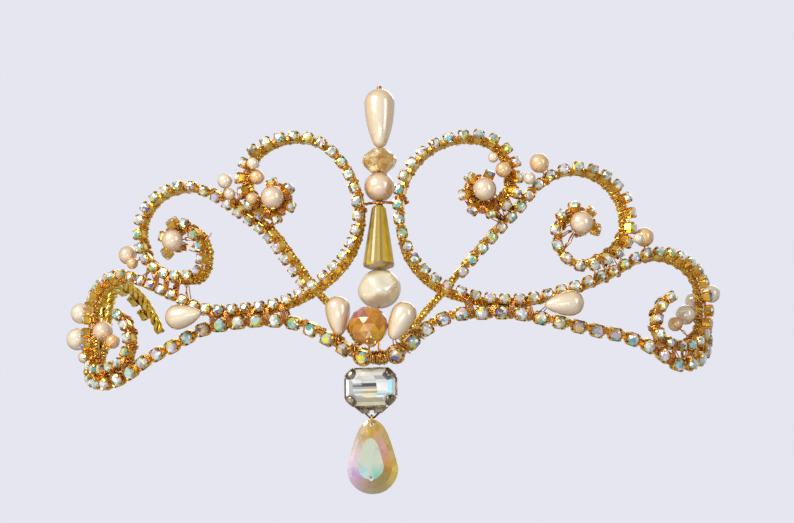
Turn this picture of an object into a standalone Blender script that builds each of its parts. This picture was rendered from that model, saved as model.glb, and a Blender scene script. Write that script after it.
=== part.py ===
"""A bridal tiara of gold braid scrolls, cup chain, pearls and glass beads.

Lengths are in metres. +Z is up and the front faces -Y. The band follows an ellipse in plan, and the
origin is the centre of that ellipse, at the height of the lowest point of the base band's dip.
A place on the band is given by how far it is round the ellipse from the front (across), its height
(up) and how far it stands proud of the ellipse (out). Both halves give across as a positive length.
"""
import math

import bpy
import bmesh
import numpy as np
from mathutils import Vector
from mathutils.bvhtree import BVHTree

MM = 0.001
LEFT, RIGHT = -1, 1

# Plan of the band
HALF_WIDTH = 84.5 * MM
FRONT_DEPTH = 44.0 * MM

# Wire, binding and the air between neighbouring pieces
WIRE_DIAMETER = 2.2 * MM
BINDING_DIAMETER = 0.9 * MM
PIN_DIAMETER = 0.8 * MM
CLEARANCE = 0.3 * MM

# Cup chain of the scrolls, and the larger one of the base band
CHAIN = {"pitch": 3.85 * MM, "width": 3.0 * MM, "height": 1.9 * MM, "link": 0.9 * MM, "crown": 0.8 * MM}
BASE_CHAIN = {"pitch": 5.1 * MM, "width": 3.7 * MM, "height": 2.2 * MM, "link": 1.1 * MM, "crown": 1.0 * MM}
LINK_SHARE = 0.40
TABLE_SHARE = 0.62

# Beads of the centre, from the base upwards
AMBER_DIAMETER = 10.4 * MM
AMBER_ACROSS = -2.4 * MM
AMBER_UP = 10.2 * MM
BAROQUE_DIAMETER = 11.2 * MM
BAROQUE_HEIGHT = 11.0 * MM
BAROQUE_SWELL = 0.05
CONE_HEIGHT = 16.4 * MM
CONE_FOOT = 8.2 * MM
CONE_TOP = 3.8 * MM
ROUND_PEARL_DIAMETER = 8.0 * MM
RONDELLE_DIAMETER = 9.2 * MM
RONDELLE_HEIGHT = 6.0 * MM
TOP_DROP_DIAMETER = 7.6 * MM
TOP_DROP_HEIGHT = 17.4 * MM
DROP_DIAMETER = 6.6 * MM
DROP_HEIGHT = 10.4 * MM
BORE_DIAMETER = 1.4 * MM
STACK_FOOT = 15.6 * MM
STACK_ACROSS = -0.5 * MM
STACK_LEAN = math.radians(0.9)
PIN_OUT = -1.5 * MM
PIN_TOP = 0.6 * MM

# Octagon stone and its setting
PENDANT_ACROSS = -2.5 * MM
PENDANT_OUT = 0.4 * MM
PENDANT_TOP = 0.2 * MM
STONE_WIDTH = 12.8 * MM
STONE_HEIGHT = 9.5 * MM
STONE_CORNER = 2.5 * MM
STONE_CROWN = 1.6 * MM
STONE_PAVILION = 2.8 * MM
SETTING_WALL = 0.4 * MM
SETTING_DEPTH = 3.4 * MM
PRONG_WIDTH = 1.5 * MM
PRONG_REACH = 0.9 * MM

# Bail, ring and pear drop
BAIL_DIAMETER = 0.6 * MM
BAIL_DROP = 1.8 * MM
BAIL_SPREAD = 2.3 * MM
RING_DIAMETER = 2.7 * MM
RING_WIRE = 0.5 * MM
PEAR_WIDTH = 13.3 * MM
PEAR_LENGTH = 19.3 * MM
PEAR_THICKNESS = 4.8 * MM
PEAR_EDGE = 1.0 * MM
PEAR_HOLE = 1.2 * MM
PEAR_BRIDGE = 0.75 * MM
PEAR_LOW_BRIDGE = 3.0 * MM

# Routes of the wires, in millimetres and degrees. Each row is a place that the wire's middle passes:
# (across, up, out, lean). The chain sits on the wire's front, turned by lean to the left-hand side
# of the way that the right half's route runs, and by the mirror of that on the left half.
BASE_ROUTE = {
    RIGHT: [
        (0.0, 2.6, 0.0, -22), (4.0, 3.8, 0.0, -24), (11.2, 9.9, 0.0, -22), (18.0, 13.1, 0.0, -14),
        (26.0, 13.6, 0.0, -9), (35.0, 13.5, 0.0, -9), (44.0, 12.3, 0.0, -18), (55.0, 10.3, 0.0, -22),
        (65.0, 8.6, 0.0, -22), (73.0, 5.9, 0.0, -22), (80.0, 2.6, 0.0, -22), (87.0, 4.0, -0.5, -20),
        (94.0, 7.6, -1.5, -10), (99.5, 13.0, -2.5, 0), (102.0, 19.5, -2.5, 0),
    ],
    LEFT: [
        (0.0, 2.6, 0.0, -22), (4.0, 3.4, 0.0, -24), (12.0, 8.1, 0.0, -24), (20.5, 12.5, 0.0, -18),
        (29.0, 13.6, 0.0, -9), (38.0, 13.5, 0.0, -9), (46.5, 12.9, 0.0, -14), (56.0, 9.7, 0.0, -22),
        (66.0, 6.2, 0.0, -22), (72.5, 3.3, 0.0, -24), (79.0, 2.4, 0.0, -26), (86.0, 3.4, -0.5, -22),
        (93.5, 5.6, -1.2, -14), (100.5, 8.6, -2.0, -6), (105.6, 14.6, -2.0, 0), (107.8, 22.4, -2.0, 0),
        (110.6, 30.0, -2.0, 0), (116.0, 34.2, -2.0, 0), (122.4, 32.4, -2.0, 0), (127.6, 27.4, -2.0, 0),
        (131.0, 21.0, -2.0, 0),
    ],
}
SCROLL_ROUTE = {
    RIGHT: [
        (33.6, 46.0, 1.0, -54), (34.2, 52.0, 0.0, -48), (29.6, 58.2, 0.0, -28), (22.0, 59.5, 0.0, -15),
        (13.0, 55.9, 0.0, -13), (7.4, 48.5, 0.0, -16), (5.9, 39.0, 0.0, -6), (7.2, 29.5, 0.0, 22),
        (14.0, 20.9, 0.0, 32), (24.0, 16.9, 0.0, 22), (36.0, 16.2, 0.0, 14), (50.0, 19.6, 0.0, 15),
        (61.5, 24.4, 0.0, 15), (71.5, 29.6, 0.0, 17), (83.0, 29.4, 0.0, 25), (92.0, 24.4, 0.0, 25),
        (94.0, 17.0, 0.0, 22), (89.0, 9.8, 0.0, 10), (81.5, 6.8, 0.0, 4), (74.8, 9.2, 0.0, 10),
        (74.4, 14.0, 0.0, 10), (77.2, 18.0, 0.0, 12), (81.2, 19.7, 0.0, 14),
    ],
    LEFT: [
        (32.4, 46.2, 1.0, -58), (34.9, 51.4, 0.0, -54), (32.4, 57.4, 0.0, -34), (25.6, 61.1, 0.0, -10),
        (16.5, 60.4, 0.0, -6), (9.0, 54.2, 0.0, 2), (5.0, 46.0, 0.0, 10), (4.4, 37.5, 0.0, 14),
        (7.4, 29.0, 0.0, 28), (15.0, 21.5, 0.0, 30), (25.0, 17.0, 0.0, 20), (36.5, 16.2, 0.0, 14),
        (46.5, 17.0, 0.0, 12), (57.0, 22.4, 0.0, 4), (66.0, 26.7, 0.0, 6), (75.0, 29.2, 0.0, 18),
        (85.0, 27.4, 0.0, 26), (92.5, 21.5, 0.0, 28), (93.5, 13.5, 0.0, 22), (88.0, 6.9, 0.0, 6),
        (80.0, 5.3, 0.0, 0), (73.4, 7.2, 0.0, 6), (71.8, 12.0, 0.0, 10), (73.6, 16.6, 0.0, 12),
        (77.8, 20.0, 0.0, 14),
    ],
}
MIDDLE_ROUTE = {
    RIGHT: [
        (5.6, 7.0, -2.6, 0), (9.6, 12.0, -2.6, 0), (17.0, 20.2, -2.7, -15), (24.0, 28.4, -1.6, -15),
        (30.5, 35.6, -2.0, -15), (36.6, 42.2, -2.0, -15), (43.0, 48.4, -1.0, 0), (52.0, 51.6, 0.0, 14),
        (60.5, 48.8, 0.0, 24), (65.2, 42.0, 0.0, 38), (64.6, 34.4, 0.0, 38), (58.8, 29.0, 0.0, 30),
        (51.6, 27.2, 0.0, 22), (47.6, 30.6, 0.0, 20), (47.9, 36.8, 0.4, 34),
    ],
    LEFT: [
        (5.6, 6.4, -2.6, 0), (10.6, 14.0, -2.6, 0), (16.4, 20.4, -2.7, -30), (22.6, 29.2, -1.8, -34),
        (29.4, 38.2, -2.2, -34), (37.0, 44.2, -2.0, -30), (45.0, 49.2, -1.0, -16), (53.0, 51.0, 0.0, 8),
        (61.8, 49.4, 0.0, 0), (67.3, 43.6, 0.0, -5), (67.0, 36.0, 0.0, -5), (61.6, 29.4, 0.0, -8),
        (54.6, 26.4, 0.0, -16), (48.2, 26.6, 0.0, -32), (46.4, 31.6, 0.0, -34), (49.0, 38.4, 0.2, -22),
    ],
}

# Curls that end the scrolls round a pearl, as seen on the right half: the middle, the radius at the
# free end and where the curl meets its route, the angle of the free end from straight across, the
# turn from there and how far the chain leans outwards. The curl of a middle scroll ends its route,
# and that of an inner scroll starts it.
INNER_CURL = {
    RIGHT: {"middle": (27.5, 45.4), "radii": (1.8, 3.8), "start": 40, "turn": 270, "out": 1.2, "lean": -62},
    LEFT: {"middle": (27.2, 45.4), "radii": (1.9, 2.9), "start": 50, "turn": 255, "out": 1.2, "lean": -66},
}
MIDDLE_CURL = {
    RIGHT: {"middle": (52.6, 36.9), "radii": (1.7, 2.9), "start": -110, "turn": 245, "out": 0.8, "lean": 62},
    LEFT: {"middle": (55.0, 36.9), "radii": (1.7, 3.2), "start": -130, "turn": 230, "out": 0.8, "lean": 62},
}

# Bare lengths: the base band's dip, and the tails of the middle scrolls. The base band's wire stops
# behind the end scrolls, and its chain goes on.
BASE_BARE_LENGTH = 3.4 * MM
MIDDLE_BARE_LENGTH = {RIGHT: 22.0 * MM, LEFT: 20.6 * MM}
BASE_WIRE_LENGTH = {RIGHT: 111.0 * MM, LEFT: 114.0 * MM}

# The binding round the dip, which the pendant is tied to
BASE_BINDING_LENGTH = 2.6 * MM
BASE_BINDING_DIAMETER = 3.9 * MM

# Single pearls: the side, the place of the middle (across, up), the diameter, the side of the band
# that the pearl is set from and how far out it stops if nothing is in its way, in millimetres.
FROM_FRONT, FROM_BACK = -1, 1
PEARLS = [
    ("inner_pearl_right", RIGHT, 27.4, 45.3, 6.2, FROM_FRONT, 2.0),
    ("inner_pearl_left", LEFT, 26.6, 45.2, 6.2, FROM_FRONT, 2.0),
    ("middle_pearl_right", RIGHT, 52.0, 36.9, 6.2, FROM_FRONT, 2.0),
    ("middle_pearl_left", LEFT, 54.8, 36.5, 5.8, FROM_FRONT, 2.0),
    ("end_pearl_right", RIGHT, 89.9, 16.5, 5.4, FROM_BACK, -2.2),
    ("end_pearl_left", LEFT, 89.5, 17.1, 5.6, FROM_BACK, -1.0),
    ("cluster_pearl_right_1", RIGHT, 32.4, 50.8, 4.2, FROM_FRONT, 1.0),
    ("cluster_pearl_right_2", RIGHT, 30.2, 54.6, 2.8, FROM_FRONT, 0.0),
    ("cluster_pearl_right_3", RIGHT, 41.9, 52.9, 5.2, FROM_FRONT, 0.0),
    ("cluster_pearl_right_4", RIGHT, 39.0, 48.5, 3.2, FROM_FRONT, 0.0),
    ("cluster_pearl_left_1", LEFT, 31.9, 51.8, 4.0, FROM_FRONT, 1.0),
    ("cluster_pearl_left_2", LEFT, 32.4, 55.2, 3.2, FROM_FRONT, 1.0),
    ("cluster_pearl_left_3", LEFT, 40.2, 51.2, 4.0, FROM_FRONT, 0.0),
    ("cluster_pearl_left_4", LEFT, 38.7, 47.4, 3.2, FROM_FRONT, 0.0),
    ("cluster_pearl_left_5", LEFT, 32.2, 45.4, 3.2, FROM_FRONT, 1.0),
    ("end_pearl_small_right", RIGHT, 85.4, 13.6, 4.0, FROM_FRONT, -2.8),
    ("end_pearl_small_left", LEFT, 85.7, 13.8, 4.0, FROM_BACK, -2.5),
    ("middle_side_pearl_right_1", RIGHT, 71.2, 35.0, 5.2, FROM_FRONT, 1.4),
    ("middle_side_pearl_right_2", RIGHT, 67.2, 33.6, 2.8, FROM_FRONT, 0.0),
    ("middle_side_pearl_left_1", LEFT, 73.0, 35.4, 5.0, FROM_FRONT, 1.2),
    ("middle_side_pearl_left_2", LEFT, 70.0, 32.6, 3.2, FROM_FRONT, 0.0),
    ("rear_pearl_right_1", RIGHT, 99.3, 23.2, 4.8, FROM_FRONT, 2.0),
    ("rear_pearl_right_2", RIGHT, 97.0, 21.0, 5.2, FROM_BACK, -1.0),
    ("rear_pearl_left_1", LEFT, 97.7, 23.3, 5.8, FROM_FRONT, 3.5),
    ("rear_pearl_left_2", LEFT, 98.9, 16.3, 6.2, FROM_FRONT, 4.5),
    ("rear_pearl_left_3", LEFT, 98.6, 11.2, 3.2, FROM_FRONT, 2.7),
]

# Teardrop pearls: the side, the place of the thick end's middle (across, up) in millimetres, the way
# that the point faces, in degrees from straight across towards straight up, and the stop as above.
TEARDROPS = [
    ("centre_drop_left", LEFT, 10.6, 15.4, -93, -1.5), ("centre_drop_right", RIGHT, 6.7, 12.6, -117, -1.5),
    ("wing_drop_left", LEFT, 52.4, 15.4, 176, 0.0), ("wing_drop_right", RIGHT, 48.5, 15.5, 186, 0.0),
]

PLAN_STEPS = 720
ROUTE_STEP = 0.25 * MM
BEAD_SIDES = 10
LARGE_BEAD_SIDES = 12
SMALL_PEARL = 4.5 * MM


def plan_table():
    """Angles round the ellipse from the front, and the length of the arc up to each."""
    angles = np.linspace(0.0, math.pi, PLAN_STEPS + 1)
    steps = np.hypot(np.diff(HALF_WIDTH * np.sin(angles)), np.diff(FRONT_DEPTH * np.cos(angles)))
    return angles, np.concatenate([[0.0], np.cumsum(steps)])


PLAN_ANGLES, PLAN_LENGTHS = plan_table()


def band_normal(side, across):
    """The direction straight out of the band."""
    angle = np.interp(across, PLAN_LENGTHS, PLAN_ANGLES)
    return Vector((side * math.sin(angle) / HALF_WIDTH, -math.cos(angle) / FRONT_DEPTH, 0.0)).normalized()


def on_band(side, across, up, out):
    """A place on the band, or proud of it by out. A negative across is on the other half."""
    if across < 0.0:
        side, across = -side, -across
    angle = np.interp(across, PLAN_LENGTHS, PLAN_ANGLES)
    foot = Vector((side * HALF_WIDTH * math.sin(angle), -FRONT_DEPTH * math.cos(angle), up))
    return foot + band_normal(side, across) * out


def curl_rows(curl, reverse=False):
    """Rows round a curl, from its free end to its route."""
    rows = []
    count = max(4, round(abs(curl["turn"]) / 45))
    for step in range(count):
        share = step / count
        angle = math.radians(curl["start"] + share * curl["turn"])
        radius = curl["radii"][0] + share * (curl["radii"][1] - curl["radii"][0])
        across = curl["middle"][0] + radius * math.cos(angle)
        up = curl["middle"][1] + radius * math.sin(angle)
        rows.append((across, up, curl["out"], curl["lean"]))
    return rows[::-1] if reverse else rows


def smooth_rows(rows):
    """A smooth curve through the rows (Catmull-Rom, by chord length), sampled finely."""
    points = np.array(rows, dtype=float)
    knots = np.concatenate([[0.0], np.cumsum(np.linalg.norm(np.diff(points[:, :3], axis=0), axis=1))])
    slopes = np.gradient(points, knots, axis=0, edge_order=2)
    samples = []
    for index in range(len(points) - 1):
        span = knots[index + 1] - knots[index]
        count = max(2, math.ceil(span * MM / ROUTE_STEP))
        for share in np.arange(count) / count:
            blend = 3 * share ** 2 - 2 * share ** 3
            samples.append(
                (1 - blend) * points[index] + blend * points[index + 1]
                + span * share * (1 - share) ** 2 * slopes[index]
                - span * share ** 2 * (1 - share) * slopes[index + 1])
    samples.append(points[-1])
    return samples


class Route:
    """A wire's middle line in space, with the side of the wire that its chain sits on."""

    def __init__(self, side, rows):
        places = smooth_rows(rows)
        self.points = [on_band(side, row[0] * MM, row[1] * MM, row[2] * MM) for row in places]
        self.faces = []
        last = len(places) - 1
        for index, row in enumerate(places):
            along = (self.points[min(index + 1, last)] - self.points[max(index - 1, 0)]).normalized()
            outward = band_normal(side, row[0] * MM)
            outward = (outward - along * outward.dot(along)).normalized()
            left_hand = outward.cross(along) * side
            lean = math.radians(row[3])
            self.faces.append(outward * math.cos(lean) + left_hand * math.sin(lean))

    def lifted(self, height):
        """The line that lies above the wire's middle by height, on the chain's side."""
        return [point + face * height for point, face in zip(self.points, self.faces)]

    def lengths(self, height=0.0):
        line = self.lifted(height)
        steps = [(b - a).length for a, b in zip(line, line[1:])]
        return np.concatenate([[0.0], np.cumsum(steps)])

    def at(self, place, height=0.0):
        """The point and the chain's direction at a place along the lifted line."""
        index = np.interp(place, self.lengths(height), np.arange(len(self.points)))
        low = min(int(index), len(self.points) - 2)
        share = index - low
        face = self.faces[low].lerp(self.faces[low + 1], share).normalized()
        return self.points[low].lerp(self.points[low + 1], share) + face * height, face


def make_material(name, colour, metallic, roughness, transmission=0.0):
    """A named finish."""
    material = bpy.data.materials.new(name)
    material.use_nodes = True
    shader = material.node_tree.nodes["Principled BSDF"]
    shader.inputs["Base Color"].default_value = (*colour, 1.0)
    shader.inputs["Metallic"].default_value = metallic
    shader.inputs["Roughness"].default_value = roughness
    shader.inputs["Transmission Weight"].default_value = transmission
    return material


def finish(name, mesh, material_name, parts, sharp_angle=None):
    """A named object in the parts collection with its own copy of a finish."""
    item = bpy.data.objects.new(name, mesh)
    parts.objects.link(item)
    colour, metallic, roughness, transmission = FINISHES[material_name]
    mesh.materials.clear()
    mesh.materials.append(make_material(name + "_finish", colour, metallic, roughness, transmission))
    if sharp_angle is not None:
        mesh.shade_smooth()
        mesh.set_sharp_from_angle(angle=math.radians(sharp_angle))
    return item


def mesh_from(bm, name):
    """A mesh with triangular faces that point out."""
    bmesh.ops.recalc_face_normals(bm, faces=bm.faces)
    bmesh.ops.triangulate(bm, faces=bm.faces)
    mesh = bpy.data.meshes.new(name)
    bm.to_mesh(mesh)
    bm.free()
    return mesh


def tube_mesh(points, diameter, name, resolution=1):
    """A wire through the points, with welded caps."""
    curve = bpy.data.curves.new(name + "_curve", "CURVE")
    curve.dimensions = "3D"
    curve.bevel_depth = diameter / 2
    curve.bevel_resolution = resolution
    curve.use_fill_caps = True
    spline = curve.splines.new("POLY")
    spline.points.add(len(points) - 1)
    for target, point in zip(spline.points, points):
        target.co = (*point, 1.0)
    holder = bpy.data.objects.new(name + "_curve", curve)
    bpy.context.scene.collection.objects.link(holder)
    graph = bpy.context.evaluated_depsgraph_get()
    mesh = bpy.data.meshes.new_from_object(holder.evaluated_get(graph))
    bpy.data.objects.remove(holder)
    bm = bmesh.new()
    bm.from_mesh(mesh)
    bmesh.ops.remove_doubles(bm, verts=bm.verts, dist=0.01 * MM)
    bpy.data.meshes.remove(mesh)
    return mesh_from(bm, name)


def chain_places(route, sizes, first):
    """Places of the cups' middles along the line that the chain lies on."""
    lift = WIRE_DIAMETER / 2 + CLEARANCE
    total = route.lengths(lift)[-1]
    number = int((total - first) / sizes["pitch"])
    return [first + (index + 0.5) * sizes["pitch"] for index in range(number)]


def wire_points(route, sizes, places, start, end):
    """Corners of a wire: between the cups, and a pitch apart where it is bare."""
    lift = WIRE_DIAMETER / 2 + CLEARANCE
    half = sizes["pitch"] / 2
    corners = [place - half for place in places] + [places[-1] + half]
    while corners[0] - 1.5 * half > start:
        corners.insert(0, corners[0] - 2 * half)
    while corners[-1] + 1.5 * half < end:
        corners.append(corners[-1] + 2 * half)
    corners[0] = start
    corners = [corner for corner in corners if corner < end - 0.5 * half] + [end]
    return [route.at(corner, lift)[0] - route.at(corner, lift)[1] * lift for corner in corners]


def add_cup(bm, route, place, sizes):
    """The corners of one cup and its cut stone: foot, top of the link, girdle and table."""
    lift = WIRE_DIAMETER / 2 + CLEARANCE
    foot, face = route.at(place, lift)
    ahead = route.at(place + sizes["pitch"] / 4, lift)[0] - route.at(place - sizes["pitch"] / 4, lift)[0]
    along = (ahead - face * ahead.dot(face)).normalized()
    across = along.cross(face)
    half = sizes["width"] / 2
    narrow = half * LINK_SHARE

    def corner(x, y, height):
        return bm.verts.new(foot + along * x + across * y + face * height)

    ends = {}
    for end in (-1, 1):
        for edge in (-1, 1):
            ends[end, edge, "foot"] = corner(end * half, edge * narrow, 0.0)
            ends[end, edge, "link"] = corner(end * half, edge * narrow, sizes["link"])
            ends[end, edge, "girdle"] = corner(end * half, edge * narrow, sizes["height"])
            ends[end, edge, "side"] = corner(end * narrow, edge * half, sizes["height"])
            ends[end, edge, "table"] = corner(
                end * half * TABLE_SHARE, edge * half * TABLE_SHARE, sizes["height"] + sizes["crown"])
    for edge in (-1, 1):
        bm.faces.new([ends[-1, edge, "foot"], ends[1, edge, "foot"],
                      ends[1, edge, "side"], ends[-1, edge, "side"]])
        bm.faces.new([ends[-1, edge, "side"], ends[1, edge, "side"],
                      ends[1, edge, "table"], ends[-1, edge, "table"]])
        for end in (-1, 1):
            bm.faces.new([ends[end, edge, "foot"], ends[end, edge, "link"], ends[end, edge, "side"]])
            bm.faces.new([ends[end, edge, "link"], ends[end, edge, "girdle"], ends[end, edge, "side"]])
            bm.faces.new([ends[end, edge, "girdle"], ends[end, edge, "table"], ends[end, edge, "side"]])
    for end in (-1, 1):
        bm.faces.new([ends[end, -1, "link"], ends[end, 1, "link"],
                      ends[end, 1, "girdle"], ends[end, -1, "girdle"]])
        bm.faces.new([ends[end, -1, "girdle"], ends[end, 1, "girdle"],
                      ends[end, 1, "table"], ends[end, -1, "table"]])
    bm.faces.new([ends[-1, -1, "foot"], ends[1, -1, "foot"], ends[1, 1, "foot"], ends[-1, 1, "foot"]])
    bm.faces.new([ends[-1, -1, "table"], ends[1, -1, "table"], ends[1, 1, "table"], ends[-1, 1, "table"]])
    return ends


def chain_mesh(route, sizes, places, name):
    """Cups with their stones, joined by links into one body."""
    bm = bmesh.new()
    cups = [add_cup(bm, route, place, sizes) for place in places]
    for cup, following in zip(cups, cups[1:]):
        rim = [(-1, "foot"), (-1, "link"), (1, "link"), (1, "foot")]
        for (edge, level), (next_edge, next_level) in zip(rim, rim[1:] + rim[:1]):
            bm.faces.new([cup[1, edge, level], cup[1, next_edge, next_level],
                          following[-1, next_edge, next_level], following[-1, edge, level]])
    for cup, end in ((cups[0], -1), (cups[-1], 1)):
        bm.faces.new([cup[end, -1, "foot"], cup[end, 1, "foot"], cup[end, 1, "link"], cup[end, -1, "link"]])
    return mesh_from(bm, name)


def sphere_mesh(diameter, name, sides=BEAD_SIDES):
    bm = bmesh.new()
    rings = sides // 2 + (1 if diameter > SMALL_PEARL else 0)
    bmesh.ops.create_uvsphere(bm, u_segments=sides, v_segments=rings, radius=diameter / 2)
    return mesh_from(bm, name)


def turned_mesh(profile, name, sides, closed):
    """A profile of (radius, height) from top to bottom, turned round Z."""
    mesh = bpy.data.meshes.new(name + "_profile")
    count = len(profile)
    edges = [(index, (index + 1) % count) for index in range(count if closed else count - 1)]
    mesh.from_pydata([(radius, 0.0, height) for radius, height in profile], edges, [])
    holder = bpy.data.objects.new(name + "_profile", mesh)
    bpy.context.scene.collection.objects.link(holder)
    screw = holder.modifiers.new("turn", "SCREW")
    screw.steps = sides
    screw.render_steps = sides
    screw.use_merge_vertices = True
    screw.merge_threshold = 0.01 * MM
    graph = bpy.context.evaluated_depsgraph_get()
    turned = bpy.data.meshes.new_from_object(holder.evaluated_get(graph))
    bpy.data.objects.remove(holder)
    bm = bmesh.new()
    bm.from_mesh(turned)
    bpy.data.meshes.remove(turned)
    return mesh_from(bm, name)


def bored(profile):
    """Cuts an outline off where it is as narrow as a bead's rim, and adds the bore."""
    rim = 1.6 * BORE_DIAMETER / 2
    kept = [point for point in profile if point[0] > rim]
    first, last = profile.index(kept[0]), profile.index(kept[-1])
    ends = []
    for inner, outer in ((profile[first - 1], kept[0]), (profile[last + 1], kept[-1])):
        share = (rim - inner[0]) / (outer[0] - inner[0])
        ends.append((rim, inner[1] + share * (outer[1] - inner[1])))
    bore = BORE_DIAMETER / 2
    return [ends[0]] + kept + [ends[1], (bore, ends[1][1]), (bore, ends[0][1])]


def ball_profile(diameter, height, rows=7):
    """Half of a ball that may be flattened."""
    angles = [math.pi * row / (rows - 1) for row in range(rows)]
    return [(diameter / 2 * math.sin(angle), height / 2 * math.cos(angle)) for angle in angles]


def drop_profile(diameter, height):
    """A teardrop with its point down: a half ball, then a taper given in shares of the ball's radius
    and of the length from the ball's middle to the point."""
    radius = diameter / 2
    taper = height - radius
    shares = [(0.95, 0.22), (0.80, 0.46), (0.54, 0.72), (0.28, 0.93), (0.0, 1.0)]
    ball = [(radius * math.sin(turn), radius * math.cos(turn)) for turn in (0.0, 0.5, 1.0, math.pi / 2)]
    return ball + [(radius * wide, -taper * deep) for wide, deep in shares]


def turn_and_move(mesh, down, point):
    """Turns a mesh so that its -Z faces down, and moves it to a point."""
    turn = Vector((0, 0, -1)).rotation_difference(down)
    for vertex in mesh.vertices:
        vertex.co = turn @ vertex.co + point
    mesh.update()


class Surroundings:
    """What has been placed already, for a bead to be set against."""

    def __init__(self):
        self.trees = []

    def add(self, item):
        points = [item.matrix_world @ vertex.co for vertex in item.data.vertices]
        faces = [tuple(face.vertices) for face in item.data.polygons]
        self.trees.append(BVHTree.FromPolygons(points, faces))

    def room(self, point):
        """The distance from a point to the nearest surface."""
        return min(tree.find_nearest(point)[3] for tree in self.trees)

    def settle(self, start, heading, radii, limit):
        """Moves a row of balls, given as (offset, radius), along a heading until one of them is a
        clearance away from the nearest surface or the limit is reached. Returns the way gone."""
        gone = 0.0
        while gone < limit:
            here = start + heading * gone
            free = min(self.room(here + offset) - radius - CLEARANCE for offset, radius in radii)
            if free < 0.002 * MM:
                break
            gone += free
        return min(gone, limit)


FINISHES = {
    "braid": ((0.78, 0.50, 0.13), 1.0, 0.35, 0.0),
    "chain": ((0.85, 0.72, 0.45), 0.7, 0.20, 0.0),
    "pearl": ((0.90, 0.76, 0.62), 0.0, 0.22, 0.0),
    "cream": ((0.88, 0.82, 0.66), 0.0, 0.20, 0.0),
    "copper": ((0.72, 0.38, 0.22), 1.0, 0.30, 0.0),
    "amber": ((0.90, 0.50, 0.10), 0.0, 0.05, 0.6),
    "olive": ((0.62, 0.56, 0.18), 0.0, 0.10, 0.5),
    "champagne": ((0.80, 0.62, 0.38), 0.0, 0.06, 0.6),
    "crystal": ((0.90, 0.92, 0.92), 0.0, 0.03, 0.8),
    "aurora": ((0.85, 0.80, 0.66), 0.0, 0.04, 0.6),
    "antique": ((0.42, 0.34, 0.22), 1.0, 0.38, 0.0),
}


def build_routes():
    """Every wire's route, by name and side."""
    routes = {}
    for side in (RIGHT, LEFT):
        routes["base", side] = Route(side, BASE_ROUTE[side])
        routes["scroll", side] = Route(side, curl_rows(INNER_CURL[side]) + SCROLL_ROUTE[side])
        routes["middle", side] = Route(side, MIDDLE_ROUTE[side] + curl_rows(MIDDLE_CURL[side], True))
    return routes


def build_base(parts, routes):
    """The base band: one wire from end to end, bound at the dip, with a chain on each half."""
    items = []
    halves = {}
    for side, label in ((RIGHT, "right"), (LEFT, "left")):
        route = routes["base", side]
        places = chain_places(route, BASE_CHAIN, BASE_BARE_LENGTH / 2)
        halves[side] = wire_points(route, BASE_CHAIN, places, 0.0, BASE_WIRE_LENGTH[side])
        mesh = chain_mesh(route, BASE_CHAIN, places, "base_chain_" + label)
        items.append(finish("base_chain_" + label, mesh, "chain", parts))
    wire = tube_mesh(halves[LEFT][:0:-1] + halves[RIGHT], WIRE_DIAMETER, "base_wire")
    dip = halves[RIGHT][0]
    ends = [dip + (halves[side][1] - dip).normalized() * BASE_BINDING_LENGTH / 2 for side in (LEFT, RIGHT)]
    binding = tube_mesh([ends[0], dip, ends[1]], BASE_BINDING_DIAMETER, "base_binding", 2)
    wire = combine(wire, [binding], "UNION", "base_wire")
    items.append(finish("base_wire", wire, "braid", parts, 40))
    return items


def build_scrolls(parts, routes):
    """The inner-and-end scroll and the middle scroll of each half, wires and chains."""
    items = []
    lift = WIRE_DIAMETER / 2 + CLEARANCE
    for side, label in ((RIGHT, "right"), (LEFT, "left")):
        for kind, bare in (("scroll", 0.0), ("middle", MIDDLE_BARE_LENGTH[side])):
            route = routes[kind, side]
            places = chain_places(route, CHAIN, bare)
            end = route.lengths(lift)[-1]
            name = "long_scroll" if kind == "scroll" else "middle_scroll"
            line = wire_points(route, CHAIN, places, 0.0, end)
            wire = tube_mesh(line, WIRE_DIAMETER, name)
            items.append(finish(name + "_wire_" + label, wire, "braid", parts, 40))
            chain = chain_mesh(route, CHAIN, places, name)
            items.append(finish(name + "_chain_" + label, chain, "chain", parts))
    return items


def stack_axis():
    """A point on the pin's line at height 0 and the line's direction."""
    lean = Vector((math.sin(STACK_LEAN), 0.0, math.cos(STACK_LEAN)))
    foot = Vector((STACK_ACROSS, -FRONT_DEPTH - PIN_OUT, 0.0))
    return foot, lean


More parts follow.
